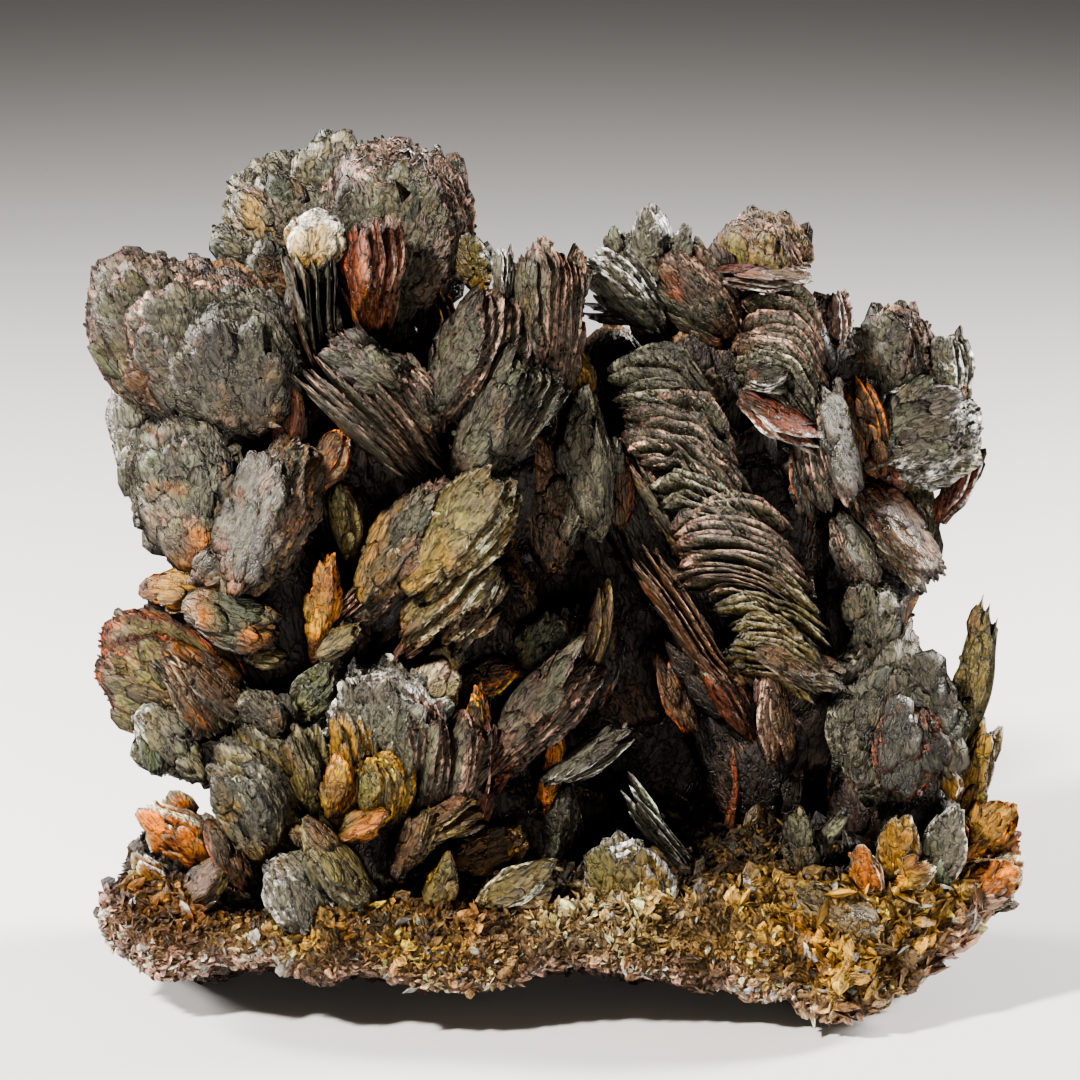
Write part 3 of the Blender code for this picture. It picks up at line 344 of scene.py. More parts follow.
CRUST_LEAVES = (
    (21.2, 15.6, -11, 96, 8, 70, 4.1, 1.6, 1.5, 0, 0, 0.3, -1, "grey", "olive", "brown"),
    (23.4, 16.4, -10, 58, 5, 50, 3.6, 1.1, 1.2, 0, 0, 0.4, -1, "grey", "light", "brown"),
    (26.6, 13.6, -14.5, 110, 8, 66, 3, 1.8, 1.6, 0, 0, 0.4, -1, "orange", "cream", "rust"),
    (29.4, 15.6, -11, 88, 8, 66, 3.5, 1.7, 1.7, 0, 0, 0.4, -1, "honey", "cream", "orange"),
    (33.4, 15.4, -11, 76, 8, 72, 4.6, 2.1, 1.5, 0, 0, 0.2, -1, "light", "white", "olive"),
    (37.4, 17.4, -9, 50, 5, 66, 3.3, 2.5, 2.3, 0, 0, 0.2, -1, "honey", "orange", "rust"),
    (37.6, 13.2, -10, 50, 5, 62, 3.1, 2.1, 2.3, 0, 0, 0.2, -1, "orange", "cream", "rust"),
    (31, 13.4, -13.5, 22, 8, 60, 2.4, 1.5, 1.5, 0, 0, 0.4, -1, "honey", "cream", "orange"),
    (24.8, 10.4, -16, -28, 8, 58, 4.6, 2.3, 1.9, 0, 0, 0.3, -1, "olive", "honey", "brown"),
    (36.2, 21.6, -6.5, 76, 5, 60, 5.1, 1.6, 1.8, 0, 0, 0.2, -1, "honey", "white", "olive"),
    (34, 21.2, -8, 104, 5, 60, 2.2, 1.3, 1.4, 0, 0, 0.4, -1, "honey", "white", "orange"),
    (6.6, 12.6, -12.5, 86, 5, 78, 4.5, 4.4, 2.2, 0, 0, 0, -1, "olive", "white", "honey"),
    (9, 17.4, -7.5, 126, 5, 34, 6.1, 1.8, 2.1, 0, 0, 0.3, -1, "dark", "white", "dark"),
    (-2.9, 12.5, -14, 30, 8, 64, 4.1, 1.9, 1.9, 0, 0, 0.3, -1, "olive", "cream", "brown"),
    (-5, 15.6, -9, 26, 8, 62, 3.5, 2.9, 1.9, 0, 0, 0.2, -1, "brown", "honey", "brown"),
    (-9.6, 12.2, -13, 70, 8, 62, 3.3, 1.9, 1.9, 0, 0, 0.3, -1, "olive", "honey", "brown"),
    (-31.4, 16.6, -6, 132, 5, 60, 4.1, 3.3, 3.8, 0, 0, 0.1, -1, "orange", "cream", "rust"),
    (-33.9, 13.4, -7.5, 128, 5, 56, 2.5, 1.9, 2.2, 0, 0, 0.1, -1, "honey", "white", "rust"),
    (-29.6, 12.6, -10.5, 40, 8, 40, 3.5, 1.9, 2.2, 0, 0, 0.2, -1, "brown", "olive", "umber"),
)

# The back isn't seen in the photo: the same kinds of aggregate, turned away from the viewer.
BACK = (
    (-30, 52, 9, 118, -20, 104, 8.8, 7.2, 5.6, 0, 0, 0, 1, "grey", "pink", "brown"),
    (-18, 59, 12, 96, -20, 112, 8.8, 7.2, 5.6, 0, 0, 0, 1, "light", "pink", "olive"),
    (-5, 52, 8, 84, -20, 108, 8.8, 5.8, 5.6, 0, 8, 0, 0.8, "grey", "light", "brown"),
    (-25, 42, 12, 110, -25, 110, 8.8, 7.8, 6.6, 0, 0, 0, 1, "grey", "light", "brown"),
    (-10, 42, 13, 88, -20, 100, 9.8, 7.8, 6.6, 0, 0, 0, 1, "olive", "light", "rust"),
    (-27, 28, 11, 130, -25, 110, 8.2, 7.4, 6.6, 0, 0, 0, 1, "olive", "pink", "rust"),
    (-11, 26, 15, 96, -30, 112, 8.8, 8.8, 6.6, 0, 0, 0, 1, "grey", "light", "honey"),
    # This row and the umber row at x 10 are painted shade: a dark back wall for the hollow
    # between the towers.
    (3, 40, 9, 82, -10, 96, 12.8, 6.2, 4.6, 0, 0, 0, 1, "umber", "umber", "umber"),
    (12, 52, 9, 92, -20, 106, 8.4, 6.4, 5.6, 0, 0, 0, 1, "grey", "pink", "dark"),
    (23.5, 49, 9, 84, -20, 104, 8.8, 6.4, 6.6, 0, 0, 0, 1, "grey", "light", "brown"),
    (19, 38, 13, 86, -20, 104, 9.8, 7.8, 7.6, 0, 0, 0, 1, "olive", "light", "brown"),
    (26, 28, 10, 74, -20, 100, 8.8, 5.8, 6.6, 0, 0, 0, 1, "grey", "pink", "rust"),
    (10, 23, 15, 88, -30, 108, 8.8, 8.8, 6.6, 0, 0, 0, 1, "umber", "umber", "umber"),
    (25, 20, 12, 70, -25, 100, 7.8, 6.8, 6.6, 0, 0, 0, 1, "olive", "cream", "honey"),
    (-1, 18, 14, 100, -30, 108, 6.8, 6.8, 5.6, 0, 0, 0, 1, "olive", "light", "honey"),
)

# Inner growth behind the aggregates, with the first nine of those columns; dark umber, painted
# shade where the inside lies in shadow.
TRUNKS = (
    (-28, 52, 5, 100, 0, 80, 13, 6.5, 7),
    (-17, 58, 6, 92, 0, 85, 13, 6.5, 8),
    (-13, 45, 4, 96, 0, 80, 14, 9, 9),
    (-4, 50, 1, 84, 0, 80, 12, 6, 9),
    (-22, 34, 4, 104, 0, 80, 14, 9, 12),
    (-7, 29, 3, 92, 0, 80, 15, 8, 12),
    (-20, 17, 0, 90, 0, 85, 12, 9, 16),
    (-3, 16, 0, 90, 0, 85, 9, 7, 12),
    (13, 55, 3, 92, 0, 80, 9, 6, 9),
    (22, 53, 2, 84, 0, 80, 10, 6, 9),
    (16.5, 43, 2, 96, 0, 80, 13, 7, 12),
    (27, 39, 1, 90, 0, 80, 12, 4, 8),
    (19, 27, 6, 90, 0, 80, 13, 7, 12),
    (29.5, 20, 0, 84, 0, 80, 12, 6, 12),
    (5, 24, 11, 90, 0, 85, 12, 9, 8),
    (31.6, 53, 1.5, 84, 0, 78, 6, 3.4, 3.6),
    (10.4, 42, 2, 112, 0, 60, 12, 4, 6),
    (13.4, 32, 0.5, 118, 0, 50, 6, 3.6, 6),
    (-11, 39.5, -3, 56, 0, 40, 9, 4.6, 7),
    (1.4, 31, -0.5, 80, 0, 70, 7, 4.4, 7),
    (-28, 60, 5, 110, 0, 76, 7, 6, 6),
    (12.4, 62, 2.5, 110, 0, 70, 5, 5, 4),
)

# Inner growth that closes the hollow between the towers and small gaps beside them; dark umber,
# painted shade put where there is only shadow.
HOLLOW_BACK = (
    (8, 36, 8, 95, 0, 84, 11, 6, 5),
    (6, 50, 7, 92, 0, 84, 8, 6, 5),
    (5.4, 57, 5, 90, 0, 84, 3.6, 3.4, 3),
    (-9.8, 58.4, 3, 95, 0, 30, 6, 3.8, 3),
    (-22, 51.6, 4, 90, 0, 30, 5, 4, 3),
    (22.4, 33.6, 3, 90, 0, 30, 5, 3.4, 3),
)

# The crust from left to right: x; lower and upper edge of its front face as seen; depth of
# the front face; depth of its back. Below it are the values of its foot and its crystals.
CRUST = (
    (-37.8, 7.4, 10.6, -9, 2),
    (-35.6, 5.2, 12.6, -11.5, 7),
    (-32.8, 4.2, 13.6, -13.5, 12),
    (-29.6, 5.4, 11, -14.5, 15),
    (-27.2, 5.2, 9.6, -15.5, 17),
    (-24.6, 6.2, 9.4, -15.5, 18.5),
    (-21.6, 4.2, 9.2, -16.5, 19.5),
    (-19.2, 3.5, 11, -17, 20),
    (-16.7, 4.8, 11.2, -16.5, 20),
    (-13.6, 3.8, 11.2, -17, 20),
    (-9.2, 3.1, 11.2, -17.5, 20),
    (-5.2, 2.9, 11, -17.5, 20),
    (-3, 3.3, 11, -17, 20),
    (-0.2, 5.4, 11.8, -16.5, 20),
    (3.6, 5, 12.2, -16, 20),
    (8, 4.2, 12.6, -16, 19.5),
    (11.6, 3.7, 12.2, -16, 19.5),
    (13.4, 2.8, 12.8, -16, 19),
    (14.9, 3.5, 12.8, -16, 19),
    (17.8, 2.1, 13.4, -16.5, 18.5),
    (19.6, 2.7, 13.6, -16.5, 18),
    (22.2, 0.8, 12.8, -17, 17.5),
    (24, -0.1, 12.8, -17.5, 17),
    (27.8, 0.9, 13, -16.5, 16),
    (30.8, 3, 14, -14.5, 14),
    (33.6, 6, 13, -12.5, 11),
    (36.6, 10.4, 15, -11, 6),
    (38.4, 12.2, 16.2, -9.5, 1),
)
FOOT_LEFT = -26.0
FOOT_RIGHT = 27.0
FOOT_FRONT = 2.0
FOOT_BACK = 13.0
FOOT_PAST_ENDS = 0.8
FOOT_INSET = 4.0
FOOT_LEAST = 1.0
CRUST_SKIN = 0.8
CRUST_SLOPE = 1.5
CRUST_BULGE = 1.2
CRUST_CROWN = 0.4
CRUST_STEP = 0.8
CRUST_RING = 84
CRUST_LUMPS = ((0.9, 3.6), (0.5, 1.5))
CRUST_PATTERN = 91
CRUST_PATCH = 5.0
DRUSE_COUNT = 24500
DRUSE_LONG = 0.72
DRUSE_LEAN = 0.8
DRUSE_STAIN_PATCH = 3.2
DRUSE_AMBER_PATCH = 4.1
DRUSE_SHADE_PATCH = 2.0
DRUSE_CLUMP_PATCH = 2.4
# Share of the druse crystals painted white: painted highlight standing in for sparkle.
DRUSE_PAINTED_SPARKLE = 0.07

# Rims of the two crystal forms, a millimetre long, and the peak of their flat faces.
POINTED = ((0.0, 0.55), (-0.4, 0.2), (-0.46, -0.2), (0.0, -0.5), (0.46, -0.2), (0.4, 0.2))
BLUNT = ((0.22, 0.5), (-0.26, 0.46), (-0.5, 0.0), (-0.2, -0.5), (0.24, -0.5), (0.48, 0.06))
PEAK = 0.05

# The crystals' finish: limits of the tones, patterns per metre and per millimetre, and the
# parts of the bump.
LEAST_TONE = 0.003
MOST_TONE = 0.9
HONEY_CLEAR = 0.35
SPECKS_PER_METRE = 1900
CHIPS_PER_METRE = 1500
STRIA_STRETCH = (4.0, 0.75, 4.0)
STRIA_SCALE = 0.9
CRACK_STRETCH = (1.15, 0.42, 1.15)
CRACK_SCALE = 0.95
CRACK_BEND = (1.6, 1.6, 1.6)
BEND_SCALE = 0.9
STRIA_BUMP = 1.6
CHIP_BUMP = 0.35
SPECK_BUMP = 0.5
CRACK_BUMP = 0.45
BUMP_STRENGTH = 0.85
BUMP_HEIGHT = 0.00026
SPECKS = (0.3, 0.7)
CRYSTAL_IOR = 1.62

# The studio, in metres. Lamps: name, place, size, power and colour.
LAMPS = (
    ("key", (-0.24, -0.26, 0.34), 0.05, 4.7, (1.0, 0.97, 0.92)),
    ("right_rim", (0.34, 0.10, 0.20), 0.10, 3.2, (1.0, 0.98, 0.96)),
    ("left_rim", (-0.34, 0.12, 0.16), 0.10, 2.0, (1.0, 0.98, 0.96)),
    ("front", (0.06, -0.42, 0.05), 0.12, 0.8, (1.0, 0.96, 0.9)),
)
LAMP_AIM = Vector((0.0, 0.0, 0.038))
FLOOR_REACH = 3.0
FLOOR_TONE = (0.62, 0.61, 0.60, 1)
FLOOR_ROUGHNESS = 0.8
SKY_TONE = (1.0, 0.98, 0.94, 1)
SKY_STRENGTH = 0.07
LENS = 149
SENSOR = 36
NEAREST_SEEN = 0.01

HASH_PRIMES = np.array([374761393, 668265263, 1440662683])
HASH_SEED = 974634777
HASH_MIX = 1274126177
HASH_BITS = 0xFFFFFFFF


def eased(part):
    """A share from 0 to 1 with soft ends."""
    return part * part * (3 - 2 * part)


def noise(points, scale, pattern):
    """Smooth value noise from -1 to 1 at points, with features about scale wide."""
    cell = points / scale
    low = np.floor(cell).astype(np.int64)
    part = eased(cell - low)
    total = np.zeros(len(points))
    for corner in range(8):
        step = np.array([corner & 1, corner >> 1 & 1, corner >> 2 & 1])
        hashed = ((low + step) @ HASH_PRIMES + pattern * HASH_SEED) & HASH_BITS
        hashed = ((hashed ^ (hashed >> 13)) * HASH_MIX) & HASH_BITS
        value = ((hashed ^ (hashed >> 16)) & 0xFFFF) / 32767.5 - 1
        total += value * np.prod(np.where(step == 1, part, 1 - part), axis=1)
    return total


def unit(vectors):
    length = np.linalg.norm(vectors, axis=-1, keepdims=True)
    return vectors / np.maximum(length, 1e-9)


def seen(x, z, depth):
    """The point at this depth that is seen at x, z in the front view, in millimetres."""
    eye = VIEW_TARGET - VIEW_FORWARD * VIEW_DISTANCE
    ray = VIEW_FORWARD * VIEW_DISTANCE + np.array([x - VIEW_CENTRE_X, 0.0, 0.0])
    ray = ray + VIEW_UP * (z - VIEW_CENTRE_Z)
    return eye + ray * ((depth - eye[1]) / ray[1]) + SHIFT


def axes_of(turn, lean, roll):
    """Growth direction, stacking direction and sideways direction of an aggregate."""
    turn, lean, roll = radians(turn), radians(lean), radians(roll)
    viewer = np.array([0.0, -1.0, 0.0])
    in_picture = np.array([cos(turn), 0.0, sin(turn)])
    growth = in_picture * cos(lean) + viewer * sin(lean)
    across = np.array([-sin(turn), 0.0, cos(turn)])
    front = unit(np.cross(growth, across))
    stack = across * cos(roll) + front * sin(roll)
    return growth, stack, unit(np.cross(growth, stack))


def about(vector, axis, angle):
    """The vector turned about the axis by an angle in radians."""
    along = axis * np.dot(axis, vector)
    return vector * cos(angle) + np.cross(axis, vector) * sin(angle) + along * (1 - cos(angle))


def mixed(first, second, share):
    share = np.asarray(share, float)[..., None]
    return np.asarray(first) * (1 - share) + np.asarray(second) * share


def ramp(values, low, high):
    """0 below low, 1 above high, and a soft rise between them."""
    return eased(np.clip((values - low) / (high - low), 0, 1))


def girth(long, wide):
    """Length of the outline of an oval with these half sizes, near enough."""
    return 2 * np.sqrt((long * long + wide * wide) / 2) * pi


def lens_faces(rings, corners):
    """Triangles of a closed body made of rings of corners, with a point at each end."""
    ring = np.arange(corners)
    after = (ring + 1) % corners
    made = [np.stack([np.zeros(corners, int), 1 + ring, 1 + after], 1)]
    for r in range(rings - 1):
        low = 1 + r * corners
        high = low + corners
        made.append(np.stack([low + ring, high + after, low + after], 1))
        made.append(np.stack([low + ring, high + ring, high + after], 1))
    last = 1 + (rings - 1) * corners
    tip = np.full(corners, last + corners)
    made.append(np.stack([last + ring, tip, last + after], 1))
    return np.concatenate(made)


class Gathered:
    """Sets of arrays that are joined column by column at the end."""

    def __init__(self):
        self.each = []

    def add(self, *arrays):
        self.each.append(arrays)

    def joined(self):
        return [np.concatenate(column) for column in zip(*self.each)]


class Bodies(Gathered):
    """Closed bodies for one mesh: points, faces, tones, grains, hems and edges."""

    def joined(self):
        starts = np.cumsum([0] + [len(body[0]) for body in self.each[:-1]])
        columns = list(zip(*self.each))
        columns[1] = [faces + start for faces, start in zip(columns[1], starts)]
        return [np.concatenate(column) for column in columns]


class Blades(Gathered):
    """Small crystals of one form: places, directions, flat faces' normals, sizes and tones."""

    def chosen(self, wanted):
        made = Blades()
        made.add(*[column[wanted] for column in self.joined()])
        return made

    def boxed(self):
        """The crystals that don't reach past the specimen's box."""
        places, _, _, sizes, _ = self.joined()
        reach = CRYSTAL_REACH * sizes.max(axis=1)[:, None]
        return self.chosen(((places - reach > BOX[0]) & (places + reach < BOX[1])).all(axis=1))

    def halves(self, x):
        """The same crystals as two sets, left and right of x."""
        left = self.joined()[0][:, 0] < x
        return self.chosen(left), self.chosen(~left)


class Aggregate:
    """One fan, sheaf or dome of thin curved crystal layers."""

    def __init__(self, row, rng, pattern, coarse=1.0):
        x, z, depth, turn, lean, roll = row[:6]
        self.long, self.wide, self.thick, self.step, self.fan, self.point, self.cover = row[6:13]
        self.face, self.rim, self.root = (np.array(TONES[name]) for name in row[13:])
        self.centre = seen(x, z, depth)
        self.growth, self.stack, self.side = axes_of(turn, lean, roll)
        self.rng, self.pattern, self.coarse = rng, pattern, coarse
        self.domed = self.step >= DOME_STEP
        self.rims = EDGE_CRYSTALS_OF_DOME if self.domed else EDGE_CRYSTALS
        self.slip = SLIP
        self.sag = 0.0
        if self.cover < 0:
            self.rims = 0.0
            self.cover = LOOSE_COVER
            self.slip = SLIP_OF_LOOSE
            self.thick = self.thick * LOOSE_THICK
            self.point = max(self.point, LOOSE_POINT)
        if coarse > 1:
            self.slip = SLIP_OF_COARSE
        self.folds = rng.uniform(*(FOLDS_FACE_ON if roll > FACE_ON else FOLDS_EDGE_ON))
        self.outline = rng.integers(1000)

    def relief(self, along, side):
        """Height of the layers' shared folds and waves, along and across the growth."""
        reach = np.hypot(along + self.long, side)
        angle = np.arctan2(side, along + self.long * FOLD_SOURCE)
        fan = np.stack([angle * FOLD_TURNS, reach / FOLD_LENGTH, np.full_like(angle, 0.5)], 1)
        fold = noise(fan, 1.0, self.pattern)
        flat = np.stack([along, side, np.zeros_like(side)], 1)
        wave = noise(flat, WAVE_LENGTH, self.pattern + 1)
        bulge = (along / self.long) ** 2 + (side / self.wide) ** 2
        grown = ramp(reach, 0, self.long)
        if self.sag:
            fold, grown = DOME_FOLD * fold, 1.0
            fall = self.sag * ((side / self.wide) ** 2 - DOME_SAG_LEVEL)
            wave = wave - fall / WAVE_HEIGHT
        return self.folds * fold * grown + WAVE_HEIGHT * wave - BULGE * self.thick * bulge

    def rim_shape(self, angle, place):
        """Uneven outline of a layer: lobes that its neighbours nearly share."""
        way = np.stack([np.cos(angle), np.sin(angle), np.full_like(angle, place)], 1)
        reach = 1
        for k, (turns, height) in enumerate(LOBES):
            reach = reach + height * noise(way * turns, 1.0, self.outline + k)
        return reach - LOBE_INSET

    def narrowed(self, ahead):
        """How wide the outline is at its tip side and at its root side."""
        return np.where(ahead > 0, 1 - self.point * ahead**2, 1 + ROOT_TAPER * ahead)

    def tone(self, points, along):
        """Colour at points: root to tip along the growth, with stained patches."""
        patch = noise(points, PATCH, self.pattern + 2)
        stain = noise(points, STAIN, self.pattern + 4)
        spot = noise(points, SPOT, self.pattern + 3)
        low = ramp(-along / self.long + 0.35 * patch, 0.15, 0.95)
        stained = np.clip(0.65 * low + 0.55 * ramp(stain, 0.15, 0.6), 0, 1)
        body = mixed(self.face, self.root, stained)
        return body * (1 + MOTTLE * patch + MOTTLE * spot)[:, None]

    def hem(self, points, along):
        """Colour of the layers' thin edges, brightest at the tip: partly their paler rim colour,
        partly painted highlight in glinting patches.
        """
        low = ramp(-along / self.long, 0.0, 0.9)
        # Painted highlight: glinting patches make the edge colour much brighter.
        glint = ramp(noise(points, GLINT, self.pattern + 6), -0.5, 0.5)
        return mixed(self.rim, self.face, low * 0.7) * (0.45 + 1.7 * glint**2)[:, None]

    def shared_out(self, places, along, share, least, most):
        """Tones between face and edge colour by these shares, each a bit lighter or darker; the
        edge colour holds painted highlight.
        """
        tones = mixed(self.tone(places, along), self.hem(places, along), share)
        return tones * self.rng.uniform(least, most, (len(places), 1))

    def fanned(self, place):
        """Growth and stacking direction at this place in the stack."""
        spin = radians(self.fan * place)
        return about(self.growth, self.side, spin), about(self.stack, self.side, spin)

    def middle_of(self, place, growth):
        """Middle of the layer at this place, which grows in this direction."""
        offset = place * self.thick * (FAN_SPREAD if self.fan else 1)
        root = self.centre - self.growth * self.long + self.stack * offset
        back = self.step * self.thick * (place + 0.5)
        return root + growth * self.long - self.growth * back

    def layer(self, bodies, blades, place, count):
        """One thin layer, and the small crystals along its edge."""
        rng = self.rng
        growth, stack = self.fanned(place)
        inner = abs(place) < 0.5 - 0.8 / count
        growth = about(growth, self.side, rng.normal(0, radians(LAYER_TILT)) * inner)
        swing = LAYER_SWING if self.coarse == 1 else COARSE_SWING
        growth = about(growth, stack, rng.normal(0, radians(swing)))
        side = unit(np.cross(growth, stack))
        stack = unit(np.cross(side, growth))
        size = (1 - OUTER_SHRINK * place * place) * rng.uniform(*LAYER_SIZE)
        long, wide = self.long * size, self.wide * size * rng.uniform(*LAYER_WIDTH)
        slip = rng.normal(SLIP_BACK, SLIP_SPREAD) * self.slip * self.long
        middle = self.middle_of(place, growth) + growth * slip
        middle = middle + self.side * (rng.normal(0, SLIP_SPREAD) * self.slip * self.wide)
        segment = SEGMENT * min(self.coarse, COARSE_SEGMENT)
        corners = max(10, int(girth(long, wide) / segment))
        angle = 2 * pi * (np.arange(corners) + rng.uniform(0, 1)) / corners
        ahead, across = np.cos(angle), np.sin(angle)
        teeth = 1 - TEETH * rng.uniform(0, 1, corners)
        radius = teeth * self.rim_shape(angle, place)
        half = 0.5 * LAYER_GAP * rng.uniform(*LAYER_HALF) * self.coarse
        half = half * (DOME_HALF if self.domed else 1)
        outline = [ahead * long * radius, across * self.narrowed(ahead) * wide * radius]
        outline = np.stack(outline, 1)
        rows, heights, edges = [np.zeros((1, 2))], [np.array([-half])], [np.zeros(1)]
        for share, height in zip(RING_SHARES, RING_HEIGHTS):
            jitter = rng.uniform(-RING_JITTER, RING_JITTER, (corners, 1)) if share < 1 else 0
            rows.append(outline * (share + jitter))
            heights.append(np.full(corners, height * half))
            edges.append(np.full(corners, float(share == 1)))
        plane = np.concatenate(rows + [np.zeros((1, 2))])
        height = np.concatenate(heights + [np.array([half])])
        height = height + self.relief(plane[:, 0], plane[:, 1])
        edge = np.concatenate(edges + [np.zeros(1)])
        points = middle + plane[:, :1] * growth + plane[:, 1:] * side + height[:, None] * stack
        tones = self.tone(points, plane[:, 0]) * rng.uniform(*LAYER_TONE)
        # Painted highlight: each layer's edge colour gets a random gain in brightness.
        hem_highlight_gain = rng.normal(0.2, 0.5) if self.domed else rng.normal(0.5, 0.25)
        hems = self.hem(points, plane[:, 0]) * np.exp(hem_highlight_gain)
        grains = np.stack([plane[:, 1], plane[:, 0], height], 1) + rng.uniform(0, GRAIN_SHIFT, 3)
        bodies.add(points, lens_faces(len(RING_SHARES), corners), tones, grains, hems, edge)
        self.rim_blades(blades, place, middle, (growth, side, stack), long, wide)

    def rim_blades(self, blades, place, middle, axes, long, wide):
        """Small crystals that stand out of a layer's edge."""
        rng = self.rng
        growth, side, stack = axes
        count = int(girth(long, wide) / (RIM_STEP * self.coarse))
        angle = 2 * pi * (np.arange(count) + rng.uniform(-0.4, 0.4, count)) / count
        angle = angle[(np.cos(angle) > RIM_ROOT) & (rng.uniform(0, 1, count) < self.rims)]
        ahead, across = np.cos(angle), np.sin(angle)
        count = len(angle)
        broad = min(self.coarse, COARSE_RIM)
        length = SCALE_LONG * rng.uniform(0.6, 1.35, count) * broad
        sunk = (0.30 + 0.45 * rng.uniform(0, 1, count)) * length / max(long, wide)
        inset = self.rim_shape(angle, place) - sunk
        along = ahead * long * inset
        out = across * self.narrowed(ahead) * wide * inset
        height = self.relief(along, out) + rng.normal(0, 0.07, count)
        places = middle + along[:, None] * growth + out[:, None] * side + height[:, None] * stack
        away = unit(np.stack([ahead / long + 0.9 / long, across / wide], 1))
        away = unit(away + rng.normal(0, RIM_JITTER, (count, 2)))
        lift = rng.normal(0, RIM_JITTER, count)
        direction = unit(away[:, :1] * growth + away[:, 1:] * side + lift[:, None] * stack)
        normals = unit(stack + rng.normal(0, RIM_JITTER, (count, 3)))
        width = SCALE_WIDE * rng.uniform(0.7, 1.4, count) * broad
        thick = SCALE_THICK * rng.uniform(0.7, 1.3, count) * broad
        tones = self.shared_out(places, along, rng.uniform(0.1, 0.8, count), 0.75, 1.3)
        blades.add(places, direction, normals, np.stack([width, length, thick], 1), tones)

    def strewn(self, place, density, limit):
        """Random places on an outer face: reach, distance along the growth and aside."""
        size = 1 - OUTER_SHRINK * place * place
        long, wide = self.long * size, self.wide * size
        count = int(long * wide * pi * density * self.cover / self.coarse**2)
        reach = np.sqrt(self.rng.uniform(0, 1, count)) * limit
        angle = self.rng.uniform(0, 2 * pi, count)
        ahead, across = np.cos(angle), np.sin(angle)
        reach = reach * self.rim_shape(angle, place)
        return reach, ahead * long * reach, across * self.narrowed(ahead) * wide * reach

    def away_from_root(self, place, along, out, jitter):
        """Directions on the face that fan out from the root."""
        long = self.long * (1 - OUTER_SHRINK * place * place)
        ways = np.stack([along + long * FACE_SOURCE, out], 1)
        return unit(ways + self.rng.normal(0, jitter * long, (len(along), 2)))

    def face_blades(self, blades, place, sign):
        """Overlapping scales on an outer face, which fan out from the root."""
        rng = self.rng
        reach, along, out = self.strewn(place, FACE_DENSITY, FACE_REACH)
        count = len(reach)
        if not count:
            return
        growth, stack = self.fanned(place)
        middle, stack = self.middle_of(place, growth), stack * sign
        height = self.relief(along, out) * sign + rng.uniform(0.0, 0.2, count)
        places = middle + along[:, None] * growth + out[:, None] * self.side
        places = places + height[:, None] * stack
        away = self.away_from_root(place, along, out, 0.16)
        direction = away[:, :1] * growth + away[:, 1:] * self.side
        lift = rng.uniform(0.02, 0.20, count)[:, None]
        normals = unit(stack - lift * direction + rng.normal(0, SCALE_JITTER, (count, 3)))
        direction = unit(direction + lift * stack)
        grow = rng.uniform(0.8, 1.6, count) * min(self.coarse, COARSE_FACE)
        width = SCALE_WIDE * grow * rng.uniform(0.8, 1.4, count)
        thick = SCALE_THICK * grow * rng.uniform(0.8, 1.3, count)
        sizes = np.stack([width, SCALE_LONG * grow, thick], 1)
        near_rim = np.clip(ramp(reach, 0.75, 1.0) * rng.uniform(0, 1.2, count), 0, 0.8)
        tones = self.shared_out(places, along, near_rim, 0.72, 1.3)
        blades.add(places, direction, normals, sizes, tones)

    def plate_forms(self, count):
        """Flat outlines of the plates with rings at edge and top, and the rings' heights."""
        rng = self.rng
        turn = np.arange(PLATE_CORNERS) + rng.uniform(0, 1, (count, 1))
        turn = 2 * pi * turn / PLATE_CORNERS
        radius = 1 + rng.uniform(-0.16, 0.10, (count, PLATE_CORNERS))
        outer = [np.cos(turn) * radius, np.sin(turn) * radius * (1 - 0.25 * np.cos(turn))]
        outer = np.stack(outer, 2)
        inner = outer * PLATE_INNER - np.array([0.06, 0.0])
        centre = np.zeros((count, 1, 2))
        levels = np.repeat((-0.9, 0.0, 0.85, 1.0), (1, PLATE_CORNERS, PLATE_CORNERS, 1))
        rise = levels * (rng.uniform(*PLATE_THICK, (count, 1)) * self.coarse)
        return np.concatenate([centre, outer, inner, centre], 1), rise

    def face_plates(self, bodies, place, sign):
        """Thin overlapping plates on an outer face, which fan out from the root."""
        rng = self.rng
        size = 1 - OUTER_SHRINK * place * place
        _, along, out = self.strewn(place, PLATE_DENSITY, PLATE_REACH)
        count = len(along)
        if not count:
            return
        way = self.away_from_root(place, along, out, 0.10)
        grow = np.exp(rng.normal(0.0, 0.3, count)) * self.coarse
        length = np.minimum(PLATE_LONG * grow, PLATE_MOST[0] * (self.long * size))
        width = length * rng.uniform(*PLATE_WIDE, count)
        width = np.minimum(width, PLATE_MOST[1] * (self.wide * size))
        local, rise = self.plate_forms(count)
        ahead = local[:, :, :1] * length[:, None, None]
        aside = local[:, :, 1:] * width[:, None, None]
        cross = np.stack([-way[:, 1], way[:, 0]], 1)
        plane = np.stack([along, out], 1)[:, None, :] + ahead * way[:, None, :]
        plane = plane + aside * cross[:, None, :]
        slope = rng.uniform(0.0, 0.07, (count, 1))
        base = rng.uniform(0.0, 0.13, (count, 1)) * self.coarse
        folded = self.relief(plane[:, :, 0].ravel(), plane[:, :, 1].ravel())
        height = folded.reshape(count, -1) * sign + base + rise + slope * ahead[:, :, 0]
        growth, stack = self.fanned(place)
        points = self.middle_of(place, growth) + plane[:, :, :1] * growth
        points = points + plane[:, :, 1:] * self.side + height[:, :, None] * (stack * sign)
        faces = lens_faces(2, PLATE_CORNERS)[:, ::sign]
        edge = np.zeros(points.shape[1])
        edge[1:1 + PLATE_CORNERS] = 1.0
        tints = np.exp(rng.normal(0, 0.28, (count, 1))) * (1 + rng.normal(0, 0.06, (count, 3)))
        for k in range(count):
            tones = self.tone(points[k], plane[k, :, 0]) * tints[k]
            hems = self.hem(points[k], plane[k, :, 0]) * tints[k] * PLATE_HEM
            grains = np.stack([aside[k, :, 0], ahead[k, :, 0], height[k]], 1)
            grains = grains + rng.uniform(0, GRAIN_SHIFT, 3)
            bodies.add(points[k], faces, tones, grains, hems, edge)

